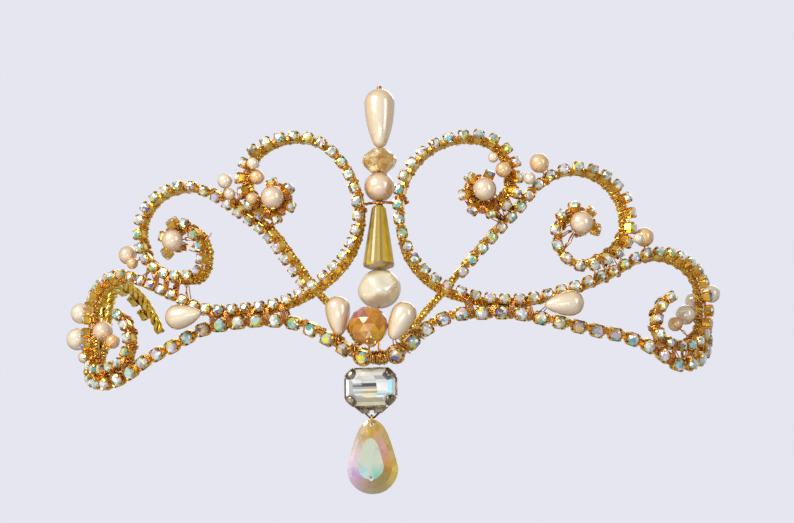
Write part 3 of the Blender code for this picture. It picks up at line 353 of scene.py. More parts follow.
# Each pearl colour: its core, an edge colour that is painted shade, and a pale painted sheen
PEARL = pearl_material("pearl", "e2c096", "865628", "f8e6ca", 0.22)
PEACH_PEARL = pearl_material("peach_pearl", "e4b26e", "8c4e16", "f6d49a", 0.24)
CREAM_PEARL = pearl_material("cream_pearl", "e8dfbc", "94804c", "faf4de", 0.20)
DROP_PEARL = pearl_material("drop_pearl", "e2c698", "8c6232", "f8ead0", 0.22)
PALE_PEARL = pearl_material("pale_pearl", "ead8b4", "9c7c4c", "faf0dc", 0.22)


# Meshes
class Skin:
    """Points and faces on their way to a mesh. Each face has a tint and a material."""

    def __init__(self):
        self.points, self.faces, self.tints, self.slots, self.smooth = [], [], [], [], []
        self.count = 0

    def add(self, points, faces, tints=(), slot=0, smooth=False):
        """Adds faces. The tints are one for each face, or none for plain white."""
        points = np.asarray(points, float).reshape(-1, 3)
        self.points.append(points)
        self.faces += [tuple(corner + self.count for corner in face) for face in faces]
        self.tints += tints or [(1.0, 1.0, 1.0)] * len(faces)
        self.slots += [slot] * len(faces)
        self.smooth += [smooth] * len(faces)
        self.count += len(points)

    def mesh(self, name, materials):
        mesh = bpy.data.meshes.new(name)
        mesh.from_pydata((np.concatenate(self.points) * MM).tolist(), [], self.faces)
        for material in materials:
            mesh.materials.append(material)
        mesh.polygons.foreach_set("material_index", self.slots)
        mesh.polygons.foreach_set("use_smooth", self.smooth)
        layer = mesh.attributes.new("tint", "FLOAT_COLOR", "CORNER")
        sizes = [len(face) for face in self.faces]
        colours = np.repeat(np.array([(*tint, 1.0) for tint in self.tints], np.float32), sizes, axis=0)
        layer.data.foreach_set("color", colours.ravel())
        mesh.validate()
        mesh.update()
        return mesh

    def build(self, name, materials, replaces=()):
        place_piece(name, self.mesh(name, materials), replaces, "tiara")


def new_object(name, data):
    item = bpy.data.objects.new(name, data)
    bpy.context.scene.collection.objects.link(item)
    return item


def place_piece(name, mesh, replaces, body):
    """Puts a mesh in the scene as a piece that rides on a body and stands for its nodes."""
    piece = new_object(name, mesh)
    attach(piece, body)
    if replaces:
        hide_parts(*replaces)


def grid_faces(rows, sides, closed=False):
    """Quads between rings of the same count."""
    faces = []
    for row in range(rows if closed else rows - 1):
        a, b = row * sides, (row + 1) % rows * sides
        faces += [(a + i, a + (i + 1) % sides, b + (i + 1) % sides, b + i) for i in range(sides)]
    return faces


def rod_faces(rows, sides):
    """Quads between rings of the same count, and a face at each end."""
    ends = [tuple(range(sides))[::-1], tuple(range((rows - 1) * sides, rows * sides))]
    return grid_faces(rows, sides) + ends


def tube(skin, path, radius, sides=6, closed=False, slot=0, smooth=True):
    """A round wire along a path."""
    path = np.asarray(path, float)
    heading = unit(np.roll(path, -1, 0) - np.roll(path, 1, 0) if closed else np.gradient(path, axis=0))
    across = np.cross(heading[0], UP if abs(heading[0][2]) < 0.8 else ACROSS)
    sideways = []
    for direction in heading:
        across = squared(across, direction)
        sideways.append(across)
    sideways = np.array(sideways)
    upright = np.cross(heading, sideways)
    turns = (np.arange(sides) * math.tau / sides)[:, None]
    ring = sideways[:, None] * np.cos(turns) + upright[:, None] * np.sin(turns)
    faces = grid_faces(len(path), sides, True) if closed else rod_faces(len(path), sides)
    skin.add(path[:, None] + ring * radius, faces, slot=slot, smooth=smooth)


def frame_of(upright):
    """Axes of a turned piece, as rows: x, y, z. Its own +Z points the way given."""
    z = unit(upright)
    x = np.cross((0.0, -1.0, 0.0), z)
    x = unit(x) if np.linalg.norm(x) > 0.1 else unit(np.cross(ACROSS, z))
    return np.array([x, np.cross(z, x), z])


def cut_rings(rows, sides):
    """Faces between rings given as (radius, height, phase): flat quads where the phase is the same,
    and triangles where it shifts by half a side. Radius 0 makes a point."""
    points, faces, starts = [], [], []
    for radius, height, phase in rows:
        starts.append(len(points))
        turns = (np.arange(sides if radius > 1e-6 else 1) + phase) * math.tau / sides
        points += [(radius * math.cos(turn), radius * math.sin(turn), height) for turn in turns]
    for a, b, (radius, _, phase), (next_radius, _, next_phase) in zip(starts, starts[1:], rows, rows[1:]):
        for i in range(sides):
            j = (i + 1) % sides
            if radius < 1e-6:
                faces.append((a, b + i, b + j))
            elif next_radius < 1e-6:
                faces.append((a + i, b, a + j))
            elif phase == next_phase:
                faces.append((a + i, b + i, b + j, a + j))
            elif phase < next_phase:
                faces += [(a + i, b + i, a + j), (b + i, b + j, a + j)]
            else:
                faces += [(a + i, b + i, b + j), (a + i, b + j, a + j)]
    return np.array(points), faces


def turned(skin, profile, sides, middle, axes):
    """A smooth turned shape from a profile of (radius, height), from its top."""
    points, faces = cut_rings([(radius, height, 0.0) for radius, height in profile], sides)
    skin.add(points @ axes + middle, faces, smooth=True)


def box_of(node):
    """The middle of a node's box, and half its size."""
    low, high = np.array(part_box(node)) / MM
    return (low + high) / 2, (high - low) / 2


# The braid
BRAID_STRANDS = 4
BRAID_PITCH = 4.6
BRAID_STEP = 0.27
BRAID_REACH = 0.80
STRAND_HALF_WIDTH, STRAND_HALF_THICKNESS = 0.36, 0.20


def braid(skin, points, faces):
    """A round braid of flat strands, over and under each other, on a core whose darker gold is painted shade
    between the strands.
    """
    lengths = run_of(points)
    steps = np.arange(0.0, lengths[-1], BRAID_STEP)
    line, front = (np.stack([np.interp(steps, lengths, rows[:, axis]) for axis in range(3)], 1)
                   for rows in (points, faces))
    along = unit(np.gradient(line, axis=0))
    front = squared(front, along)
    across = np.cross(along, front)
    turn = math.tau * steps / BRAID_PITCH
    for hand in (1, -1):
        for strand in range(BRAID_STRANDS):
            angle = math.tau * (strand + 0.15 * (hand > 0)) / BRAID_STRANDS + hand * turn
            reach = BRAID_REACH + hand * 0.11 * np.cos(BRAID_STRANDS * turn)
            spoke = front * np.cos(angle)[:, None] + across * np.sin(angle)[:, None]
            path = line + spoke * reach[:, None]
            flat = unit(np.cross(unit(np.gradient(path, axis=0)), spoke)) * STRAND_HALF_WIDTH
            thick = spoke * STRAND_HALF_THICKNESS
            corners = np.stack([path + thick, path + flat, path - thick, path - flat], 1)
            skin.add(corners, [face[::hand] for face in grid_faces(len(path), 4)])
    # The core fills the gaps between the strands, in the darker gold of painted shade
    tube(skin, line, BRAID_REACH, 8, slot=1)


# The cup chain. A cup's places are shares of its half width and its height.
CUP_CORNER = 0.60
CUP_OUTLINE = [(1.0, -CUP_CORNER), (1.0, CUP_CORNER), (CUP_CORNER, 1.0), (-CUP_CORNER, 1.0),
               (-1.0, CUP_CORNER), (-1.0, -CUP_CORNER), (-CUP_CORNER, -1.0), (CUP_CORNER, -1.0)]
CUP_WALL = [(0.80, -0.16), (0.88, -0.06), (0.93, 0.50), (0.97, 0.84), (0.91, 0.88), (0.76, 0.64)]
PRONG_PATH = [(1.14, 0.30), (1.18, 0.84), (1.14, 1.08), (1.0, 1.22), (0.80, 1.26)]
PRONG_HALF_WIDTH = 0.17
STONE_ROWS = [(0.90, 0.76, 0.0), (0.93, 0.90, 0.0), (0.64, 1.30, 0.5), (0.36, 1.35, 0.0), (0.0, 1.37, 0.0)]
STONE_TABLE = 0.5
# How common each tint is, and its colour code. The dark brown 83755a among them is painted shade.
STONE_PALETTE = [(30, "f2f5f0"), (14, "cbe6d6"), (12, "d2c9e4"), (9, "e9cfd2"), (7, "74c4b8"), (8, "e8e684"),
                 (8, "c0d684"), (3, "7e78c0"), (9, "a9a18c"), (6, "83755a"), (5, "e8c08a"), (6, "a2dde2"),
                 (6, "bcc0bc")]
YELLOW = (0.85, 0.86, 0.03)
# A link's section in millimetres: (across, off the braid)
LINK = ((-0.42, 0.12), (0.42, 0.12), (0.42, 0.52), (-0.42, 0.52))
# Cups further along the base chain than this are bare gold
REAR_FROM = 96.0


def cup_template():
    """The metal of one cup, and its stone's facets."""
    wall = np.array([(x * wide, y * wide, high) for wide, high in CUP_WALL for x, y in CUP_OUTLINE])
    wall_faces = grid_faces(len(CUP_WALL), 8) + [tuple(range(8))[::-1]]
    prongs, prong_faces = [], []
    for corner in range(4):
        turn = math.tau * (corner + 0.5) / 4
        spoke = np.array([math.cos(turn), math.sin(turn), 0.0])
        flat = np.array([-spoke[1], spoke[0], 0.0]) * PRONG_HALF_WIDTH
        start = len(prongs)
        for reach, high in PRONG_PATH:
            outer = spoke * reach + (0.0, 0.0, high)
            inner = outer - spoke * 0.13 - (0.0, 0.0, 0.12 * (high > 1.2))
            prongs += [outer - flat, outer + flat, inner + flat, inner - flat]
        *sides, _, end = rod_faces(len(PRONG_PATH), 4)
        prong_faces += [tuple(start + i for i in face) for face in sides + [end]]
    return wall, wall_faces, np.array(prongs), prong_faces, *cut_rings(STONE_ROWS, 8)


CUP = cup_template()


def stone_tints(stone, stone_faces, bright):
    """Tints for a stone's facets: a few broad patches of the coating's colours, with painted shade where a
    patch takes the dark tint.
    """
    weights, codes = zip(*STONE_PALETTE)
    patches = []
    for _ in range(6):
        angle, reach = draw.uniform(0, math.tau), draw.uniform(0.2, 1.0)
        tint = lit(draw.choices(codes, weights)[0], draw.uniform(0.82, 1.12))
        patches.append((reach * math.cos(angle), reach * math.sin(angle), tint))
    tints = []
    for face in stone_faces:
        x, y, _ = stone[list(face)].mean(0)
        nearest = min(patches, key=lambda patch: math.hypot(x - patch[0], y - patch[1]))
        tints.append(YELLOW if bright and math.hypot(x, y) < STONE_TABLE else nearest[2])
    return tints


def add_chain(skin, route, sizes, places, rear_from, bright):
    """Cups with their cut stones, and the links between them. The bright stones have a yellow table."""
    wall, wall_faces, prongs, prong_faces, stone, stone_faces = CUP
    size = np.array([sizes["width"] / 2, sizes["width"] / 2, sizes["height"]])
    for index, place in enumerate(places):
        middle, face, along = route.at(place)
        across = np.cross(along, face)
        wobble = draw.uniform(-0.07, 0.07)
        axes = np.array([along + across * wobble, across - along * wobble, face])
        foot = middle + face * CHAIN_LIFT
        slot = 2 if place > rear_from else 0
        skin.add(wall * size @ axes + foot, wall_faces, slot=slot)
        skin.add(prongs * size @ axes + foot, prong_faces, slot=slot)
        spin = draw.choice([0.0, 0.5]) * math.tau / 8 + draw.uniform(-0.06, 0.06)
        turn = np.array([[math.cos(spin), math.sin(spin), 0], [-math.sin(spin), math.cos(spin), 0], UP])
        tints = stone_tints(stone, stone_faces, index in bright)
        skin.add(stone @ turn * size @ axes + foot, stone_faces, tints, slot=1)
        if index + 1 < len(places):
            next_middle, next_face, _ = route.at(places[index + 1])
            reach = axes[0] * size[0] * 0.7
            ends = ((foot + reach, face), (next_middle + next_face * CHAIN_LIFT - reach, next_face))
            bar = [end + axes[1] * edge + off * high for end, off in ends for edge, high in LINK]
            skin.add(bar, grid_faces(2, 4), slot=slot)


def add_seat_loops(skin, route, sizes, places):
    """Two turns of fine wire round the braid and the chain's links, between the cups."""
    angles = np.arange(12) * math.tau / 12
    for place in places[1:]:
        middle, face, along = route.at(place - sizes["pitch"] / 2)
        across = np.cross(along, face)
        for turn in (-0.5, 0.5):
            shift = turn * WRAP_SPACING + draw.uniform(-0.05, 0.05)
            slant = draw.uniform(0.10, 0.24)
            wide, tall = 1.25 + draw.uniform(0, 0.05), 1.55 + draw.uniform(0, 0.08)
            ring = [middle + face * (0.36 + tall * math.cos(angle)) + across * wide * math.sin(angle)
                    + along * (shift + slant * math.sin(angle)) for angle in angles]
            tube(skin, ring, SEAT_WIRE, 5, closed=True)


CUP_PLACES = {}
for (kind, side), route in ROUTES.items():
    name = SIDE_NAMES[side]
    sizes = BASE_CHAIN if kind == "base" else CHAIN
    first = {"base": BASE_BARE_LENGTH / 2, "long_scroll": 0.0,
             "middle_scroll": MIDDLE_BARE_LENGTH[side]}[kind]
    count = int((route.lengths[-1] - first) / sizes["pitch"])
    places = [first + (index + 0.5) * sizes["pitch"] for index in range(count)]
    CUP_PLACES[kind, side] = places
    skin = Skin()
    add_chain(skin, route, sizes, places, REAR_FROM if kind == "base" else math.inf,
              (0, 2) if (kind, side) == ("base", LEFT) else ())
    skin.build("cup_chain_" + kind + "_" + name, [CUP_GOLD, STONE, REAR_GOLD],
               [kind + "_chain_" + name])
    skin = Skin()
    add_seat_loops(skin, route, sizes,
                   [place for place in places if kind != "base" or place < BASE_WIRE_LENGTH[side]])
    skin.build("chain_binding_" + kind + "_" + name, [BINDING])
    if kind != "base":
        skin = Skin()
        braid(skin, route.points, route.faces)
        skin.build("braid_" + kind + "_" + name, [GOLD_BRAID, PAINTED_SHADE_CORE],
                   [kind + "_wire_" + name])

# The base wire's two halves are one braid
points, faces = [], []
for side, order in ((LEFT, slice(None, 0, -1)), (RIGHT, slice(None))):
    route = ROUTES["base", side]
    keep = route.lengths <= BASE_WIRE_LENGTH[side]
    points.append(route.points[keep][order])
    faces.append(route.faces[keep][order])
skin = Skin()
braid(skin, np.concatenate(points), np.concatenate(faces))
skin.build("braid_base", [GOLD_BRAID, PAINTED_SHADE_CORE], ["base_wire"])


# Binding wire
def rounded(value, power):
    return math.copysign(abs(value) ** power, value)


def gaps_of(kind, side):
    """The gaps between a chain's cups: (place, wire's middle, chain's direction, wire's direction)."""
    route, places = ROUTES[kind, side], CUP_PLACES[kind, side]
    return [(place, *route.at(place)) for place in np.add(places[1:], places[:-1]) / 2]


def nearest_gap(gaps, point):
    """The number of the gap nearest to a point, and how far off it is."""
    away = [np.linalg.norm(gap[1] - point) for gap in gaps]
    return int(np.argmin(away)), min(away)


def coil(skin, middle, axis, side_way, half_wide, half_deep, turns, spacing, radius, phase=0.0):
    """A coil of wire round a bundle, with the bundle's direction as its axis."""
    axis = unit(axis)
    side_way = squared(side_way, axis)
    count = int(COIL_STEPS * turns)
    steps = (np.arange(count + 1) / count)[:, None]
    angle = math.tau * turns * steps + phase
    path = (middle + axis * (steps - 0.5) * turns * spacing + side_way * half_wide * np.cos(angle)
            + np.cross(axis, side_way) * half_deep * np.sin(angle))
    tube(skin, path, radius, 5)


def lash(skin, first, second, front, axis, turns):
    """Turns of wire round two wires that run side by side or cross, clear of the chain in front."""
    reach = second - first
    side_way = unit(reach) if np.linalg.norm(reach) > 1.6 else unit(np.cross(front, axis))
    half = max(np.linalg.norm(reach) / 2 + WIRE_RADIUS + 0.30, 2.1)
    axis = squared(axis, side_way)
    front_way = np.cross(axis, side_way)
    front_way = front_way if front_way.dot(front) > 0 else -front_way
    middle = (first + second) / 2 + front_way * 0.70
    phase = draw.uniform(0, math.tau)
    count = int(LASH_STEPS * turns)
    path = []
    for step in range(count + 1):
        angle = phase + math.tau * turns * step / count
        path.append(middle + side_way * half * rounded(math.cos(angle), 0.85)
                    + front_way * 2.05 * rounded(math.sin(angle), 0.6)
                    + axis * ((step / count - 0.5) * turns * 0.36 + draw.uniform(-0.03, 0.03)))
    tube(skin, path, LASH_WIRE, 5)


def wrap(skin, middle, face, along, turns, radius, spacing):
    """Turns of wire round one braid and its chain's link."""
    coil(skin, middle + face * 0.55, along, np.cross(along, face), half_wide=1.5, half_deep=2.0,
         turns=turns, spacing=spacing, radius=radius, phase=draw.uniform(0, math.tau))


def cross(skin, first, second, count, loose):
    """Loose strands of wire from one place to another."""
    for _ in range(count):
        shift, bow = (np.array([draw.uniform(-1, 1) for _ in range(3)]) for _ in range(2))
        start, end = first + shift * loose, second + shift[::-1] * loose
        tube(skin, [start, start * 0.6 + end * 0.4 + bow * 0.5, end], STRAND_WIRE, 5)


# Rows that are lashed to each other where they are nearer than a limit
LASHED_ROWS = (("base", "long_scroll", 5.0), ("middle_scroll", "long_scroll", 5.5),
               ("base", "middle_scroll", 4.5))
# Rows nearer than this are lashed closely, and others are lashed and crossed by loose strands
CLOSE_ROWS = 4.3
# Scrolls wrapped near their ends: (kind, length from the start, turns, wire's radius, spacing)
WRAPPED_ENDS = (("long_scroll", 22.0, 3.2, 0.18, 0.40), ("middle_scroll", 0.0, 2.6, 0.16, 0.38))
LAST_LENGTH_WRAPPED = 20.0
lashings = Skin()
for side in (LEFT, RIGHT):
    for kind, other, limit in LASHED_ROWS:
        there = gaps_of(other, side)
        for _, middle, face, along in gaps_of(kind, side):
            nearest, away = nearest_gap(there, middle)
            if away < limit:
                turns = 4.2 if away < CLOSE_ROWS else 1.2
                lash(lashings, middle, there[nearest][1], face, along, turns)
            if CLOSE_ROWS < away < limit:
                for gap in there[max(nearest - 1, 0):nearest + 2:2]:
                    cross(lashings, middle + face * 1.2, gap[1] + gap[2] * 1.2, count=2, loose=0.9)
    for kind, start, turns, radius, spacing in WRAPPED_ENDS:
        end = ROUTES[kind, side].lengths[-1] - LAST_LENGTH_WRAPPED
        for place, middle, face, along in gaps_of(kind, side):
            if place < start or place > end:
                wrap(lashings, middle, face, along, turns, radius, spacing)
    # From each flower's pearl to its curl
    for kind, pearl in (("long_scroll", "inner_pearl_"), ("middle_scroll", "middle_pearl_")):
        heart, half = box_of(pearl + SIDE_NAMES[side])
        reach = half[2]
        rim = sorted(gaps_of(kind, side), key=lambda gap: np.linalg.norm(gap[1] - heart))[:5]
        for _, middle, face, along in rim:
            way = unit(middle - heart)
            bow = unit(np.cross(way, along)) * 0.4
            tube(lashings, [heart + way * reach * 0.9, (heart + way * reach + middle) / 2 + bow,
                            middle + face * 1.6], TIE_WIRE, 5)
    for _, middle, face, _ in gaps_of("middle_scroll", side)[-6:-4]:
        way = unit(middle - heart)
        cross(lashings, heart + way * reach * 1.1, middle + face * 1.8 + way * 0.8, count=4, loose=0.5)
# From each inner flower across to the middle scroll beside it
for side in (LEFT, RIGHT):
    there = gaps_of("middle_scroll", side)
    for _, middle, face, _ in gaps_of("long_scroll", side)[:7]:
        nearest, away = nearest_gap(there, middle)
        if 3.0 < away < 12.0:
            _, spot, way, _ = there[nearest]
            cross(lashings, middle + face * 1.2, spot + way * 1.4, count=5, loose=0.8)
lashings.build("lashings", [COPPER])

# The dip: close coils between the first cups, rings round the first two cups, a sleeve and an eyelet.
# A ring is (how far off the wire, radius).
DIP_RINGS = ((1.7, 2.30), (2.15, 2.42), (2.6, 2.28))
# The sleeve's coils: (shift, radius, turns, slope)
DIP_SLEEVE = ((-0.7, 1.70, 4.2, 0.0), (0.8, 1.74, 3.6, 0.12), (0.0, 1.98, 2.3, -0.35), (0.5, 2.02, 1.4, 0.5))
DIP_UP = 2.6
EYELET = np.array([-1.2, -53.0, 5.2])
dip = Skin()
for side in (LEFT, RIGHT):
    route = ROUTES["base", side]
    for index in range(3):
        place = BASE_BARE_LENGTH / 2 + index * BASE_CHAIN["pitch"] + 0.3 * (index == 0)
        middle, face, along = route.at(place)
        wrap(dip, middle, face, along, turns=3.2, radius=0.22, spacing=0.54)
        if index:
            coil(dip, middle + face * 0.8, along + (0.0, 0.0, 0.5 * side), np.cross(along, face),
                 half_wide=2.3, half_deep=2.2, turns=2.0, spacing=0.7, radius=LASH_WIRE, phase=math.pi / 2)
    middle, face, along = route.at(CUP_PLACES["base", side][0])
    across = np.cross(along, face)
    for lift, reach in DIP_RINGS:
        begin = draw.uniform(0, 2.0)
        arc = [middle + face * (lift + 0.25 * math.sin(turn + begin))
               + (along * math.cos(turn) + across * math.sin(turn)) * reach
               for turn in np.linspace(begin, begin + 5.4, 22)]
        tube(dip, arc, DIP_WIRE_RADIUS)
for shift, reach, turns, slope in DIP_SLEEVE:
    coil(dip, on_band(RIGHT, 0.0, DIP_UP) + (shift, 0.0, 0.0), (1.0, 0.0, slope), UP, reach, reach,
         turns, spacing=0.60, radius=DIP_WIRE_RADIUS, phase=draw.uniform(0, math.tau))
coil(dip, EYELET, (0.25, -1.0, 0.1), ACROSS, half_wide=1.10, half_deep=1.10, turns=2.3, spacing=0.50,
     radius=0.30)
tube(dip, EYELET + [(-0.5, 0.2, -0.8), (-0.9, 2.0, -1.7), (-1.6, 4.4, -2.4), (-2.6, 6.6, -2.6)], 0.28)
dip.build("dip_coils", [DIP_WIRE])

# The wire that ties the two inner loops to the pin: three strands, twisted, with turns round the pin and
# round each loop
PIN_LEAN = 0.9
PIN_WAY = unit([math.tan(math.radians(PIN_LEAN)), 0.0, 1.0])
PIN_X = box_of("round_pearl")[0][0]
TIE_UP = box_of("cross_binding")[0][2]
TIE_TWIST = 3.4
spine = smooth_rows([(-7.4, TIE_UP, -1.5, 0), (-6.6, TIE_UP, -1.85, 0), (-4.2, TIE_UP, -1.85, 0),
                     (-1.8, TIE_UP, -0.35, 0), (1.8, TIE_UP, -0.35, 0), (4.8, TIE_UP, -1.85, 0),
                     (7.0, TIE_UP, -1.85, 0), (8.0, TIE_UP + 0.3, -1.5, 0)])[::2]
skin = Skin()
for strand in range(3):
    path = []
    for across, height, out, _ in spine:
        angle = math.tau * (across / TIE_TWIST + strand / 3)
        path.append(on_band(RIGHT, across, height + 0.24 * math.sin(angle), out + 0.24 * math.cos(angle))
                    + (PIN_X, 0.0, 0.0))
    tube(skin, path, 0.19)
coil(skin, (PIN_X, 1.5 - FRONT_DEPTH, TIE_UP), PIN_WAY, ACROSS, half_wide=0.80, half_deep=0.80,
     turns=3.2, spacing=WRAP_SPACING, radius=0.18)
for side in (LEFT, RIGHT):
    _, middle, face, along = min(gaps_of("long_scroll", side),
                                 key=lambda gap: abs(gap[1][2] - TIE_UP) + abs(gap[1][0]) * 0.5)
    wrap(skin, middle, face, along, turns=3.2, radius=LASH_WIRE, spacing=WRAP_SPACING)
skin.build("cross_binding_wire", [COPPER], ["cross_binding"])

# Wire ends that stand clear of the work: (kind, side, place in cups, the way that the end bends)
LOOSE_ENDS = (("long_scroll", RIGHT, 41.6, (-0.5, 0.0, 1.0)), ("middle_scroll", RIGHT, 9.0, (-0.4, 0.0, 1.0)),
              ("middle_scroll", LEFT, 26.4, (1.0, -0.2, 0.3)), ("base", RIGHT, 1.1, (-0.2, -0.3, 1.0)))
ends = Skin()
for kind, side, cups, bend in LOOSE_ENDS:
    places = CUP_PLACES[kind, side]
    middle, face, along = ROUTES[kind, side].at(np.interp(cups, np.arange(len(places)), places))
    start = middle + face * 1.3
    bend = unit(bend)
    tube(ends, [start, start + bend * 1.4 + face * 0.4, start + bend * 2.6 + along * 0.3,
                start + bend * 3.4 + along * 1.0], TIE_WIRE, 5)
ends.build("wire_ends", [COPPER])

# The rear end of the left half: three wires twisted behind the base chain
REAR_TWIST = 7.0
route = ROUTES["base", LEFT]
places = np.arange(BASE_WIRE_LENGTH[LEFT] + 0.6, route.lengths[-1] - 1.0, 0.35)
skin = Skin()
for strand in range(3):
    path = []
    for place in places:
        middle, face, along = route.at(place)
        angle = math.tau * (place / REAR_TWIST + strand / 3)
        path.append(middle + face * (0.70 * math.cos(angle) - 0.3)
                    + np.cross(along, face) * 0.82 * math.sin(angle))
    tube(skin, path, 0.66, 8)
skin.build("rear_twist", [REAR_GOLD])

# Pearls
BORE_RADIUS = 0.45
# Two of the three colours of pearl. Every other pearl has the third. end_pearl_right and rear_pearl_right_1
# sit in shade and take the pale colour as painted light.
PEACH = {"end_pearl_small_left", "end_pearl_small_right", "cluster_pearl_left_1", "cluster_pearl_left_5",
         "cluster_pearl_right_1", "cluster_pearl_right_3", "middle_side_pearl_left_2",
         "middle_side_pearl_right_1"}
PALE_AND_SHADE_LIFTED = {"cluster_pearl_left_2", "cluster_pearl_left_3", "cluster_pearl_right_2", "cluster_pearl_right_4",
        "middle_side_pearl_right_2", "end_pearl_right", "rear_pearl_right_1", "rear_pearl_right_2",
        "rear_pearl_left_1", "rear_pearl_left_2"}


def ball_rows(radius, height):
    """A bead's profile from its top bore to its lower one, with a small dimple at each."""
    first = math.asin(BORE_RADIUS / radius)
    rim = [(radius * math.sin(a), height * math.cos(a)) for a in np.linspace(first, math.pi - first, 22)]
    floor, dimple = BORE_RADIUS * 0.8, height * math.cos(first) - 0.45
    return [(0.0, dimple), (floor, dimple)] + rim + [(floor, -dimple), (0.0, -dimple)]


def nearest_on_wires(point):
    """How far off the nearest wire is, its middle there and its direction."""
    rows = []
    for route in ROUTES.values():
        away = np.linalg.norm(route.points - point, axis=1)
        index = min(max(int(away.argmin()), 1), len(route.points) - 2)
        along = unit(route.points[index + 1] - route.points[index - 1])
        rows.append((away.min(), route.points[index], along))
    return min(rows, key=lambda row: row[0])


def tie(skin, middle, radius):
    """The wire that holds a pearl: through its bore and round the nearest braid."""
    away, spot, along = nearest_on_wires(middle)
    toward = unit(spot - middle)
    bend = unit(np.cross(toward, along)) * 0.35
    start = middle + toward * radius * 0.85
    end = spot - toward * (WIRE_RADIUS + 0.2)
    if away > radius + 0.6:
        tube(skin, [start, (start + end) / 2 + bend, end], STRAND_WIRE, 5)
        tube(skin, [start + bend, (start + end) / 2 - bend, end + along * 0.4], STRAND_WIRE, 5)
    reach = WIRE_RADIUS + 0.24
    coil(skin, spot, along, toward, reach, reach, turns=2.4, spacing=WRAP_SPACING, radius=0.16,
         phase=draw.uniform(0, 6))


ties = Skin()
for node in sorted(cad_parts):
    if "_pearl_" not in node and node != "round_pearl":
        continue
    middle, half = box_of(node)
    radius = half.max()
    bore_way = (1.0, 0.0, draw.uniform(-0.8, 0.8))
    if node == "round_pearl":
        bore_way = (0.016, 0.0, 1.0)
    else:
        tie(ties, middle, radius)
    skin = Skin()
    turned(skin, ball_rows(radius, radius * 0.985), 36, middle, frame_of(bore_way))
    # On the shaded right-end pearls the pale colour is painted light
    material = PEACH_PEARL if node in PEACH else PALE_PEARL if node in PALE_AND_SHADE_LIFTED else PEARL
    skin.build("bead_" + node, [material], [node])
ties.build("pearl_ties", [COPPER])

# Teardrops: (node, how blunt its point is)
TEARDROPS = (("centre_drop_left", 0.45), ("centre_drop_right", 0.6), ("wing_drop_left", 0.15),
             ("wing_drop_right", 0.15), ("top_drop", 0.75))
# A teardrop's taper, in shares: how far along, and how wide with a sharp point and with a blunt one
TAPER = np.array([(0.0, 1.0, 1.0), (0.10, 0.985, 0.99), (0.22, 0.95, 0.965), (0.35, 0.885, 0.925),
                  (0.47, 0.80, 0.87), (0.60, 0.68, 0.79), (0.72, 0.545, 0.695), (0.82, 0.42, 0.60),
                  (0.91, 0.30, 0.49), (0.975, 0.18, 0.36), (1.0, 0.08, 0.20)])
DROP_BORE = 0.4


def drop_rows(radius, taper, blunt):
    """A teardrop's profile, from the bore in its round end down to its point, which can be blunt."""
    rows = [(0.0, radius * 0.86), (DROP_BORE * 0.8, radius * 0.86)]
    rows += [(radius * math.sin(a), radius * math.cos(a))
             for a in np.linspace(math.asin(DROP_BORE / radius), math.pi / 2, 12)]
    deep, sharp, round_end = TAPER.T
    wide = sharp + (round_end - sharp) * blunt
    rows += [(radius * np.interp(d, deep, wide), -taper * d) for d in np.linspace(0.04, 1.0, 18)]
    return rows + [(0.0, -taper)]


def teardrop_axis(node):
    """The middle of a teardrop's ball, its point's direction, its radius and its taper."""
    points = np.array([v.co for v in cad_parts[node].data.vertices]) / MM
    centre = points.mean(0)
    tip = points[np.linalg.norm(points - centre, axis=1).argmax()]
    way = unit(tip - centre)
    for _ in range(3):
        along = (points - tip) @ way
        way = unit(tip - points[along < along.min() * 0.75].mean(0))
    length = -((points - tip) @ way).min()
    radius = np.linalg.norm(np.cross(points - tip, way), axis=1).max()
    return tip - way * (length - radius), way, radius, length - radius


ties = Skin()
for node, blunt in TEARDROPS:
    middle, way, radius, taper = teardrop_axis(node)
    skin = Skin()
    turned(skin, drop_rows(radius, taper, blunt), 36, middle, frame_of(-way))
    skin.build("bead_" + node, [DROP_PEARL], [node])
    if node == "top_drop":
        coil(ties, middle - way * (radius + 0.35), way, ACROSS, half_wide=0.55, half_deep=0.55,
             turns=2.4, spacing=0.3, radius=LASH_WIRE)
        continue
    tip = middle + way * taper
    _, spot, along = nearest_on_wires(tip)
    toward = unit(tip - spot)
    for shift in (-0.28, 0.28):
        tube(ties, [tip - way * 0.8 + along * shift, (tip + spot) / 2 + along * shift * 1.6,
                    spot + along * shift * 2.2 + toward * 1.2], TIE_WIRE, 5)
    coil(ties, spot, along, toward, half_wide=1.42, half_deep=1.42, turns=3.4, spacing=0.33,
         radius=STRAND_WIRE)
ties.build("drop_ties", [COPPER])


# Beads of the centre
def cut_bead(node, rows, sides, tint_at, material, upright):
    """A cut bead. Rows are (share of the half width, share of the half height, phase), and tint_at gives
    a facet's colour code from its place, as seen from the front."""
    middle, half = box_of(node)
    points, faces = cut_rings([(half[0] * wide, half[2] * tall, phase) for wide, tall, phase in rows], sides)
    points = points @ frame_of(upright)
    tints = []
    for face in faces:
        level = draw.uniform(0.92, 1.06)
        tints.append(lit(tint_at(*points[list(face)].mean(0)), level))
    skin = Skin()
    skin.add(points + middle, faces, tints)
    skin.build("cut_" + node, [material], [node])


CONE_SIDES = 32


def rondelle_tint(x, y, z):
    if abs(z) > 2.7:
        return "f6dcae"
    return draw.choice(["e8c070", "fbe2a8", "c8964c", "fff0c8", "f2cc80", "dcb060"])


def cone_tint(x, y, z):
    if z < -7.0:
        return draw.choice(["d8c04c", "9a8038", "b08c84"])
    if x > 1.5:
        return draw.choice(["dcbc22", "e4c838"])
    if x < -2.4:
        return draw.choice(["c8b040", "b8a040"])
    # Every other flute is darker: painted shade of the flutes' grooves
    return "9c8434" if int(CONE_SIDES * (math.atan2(x, -y) / math.tau + 0.5)) % 2 else "c4aa50"


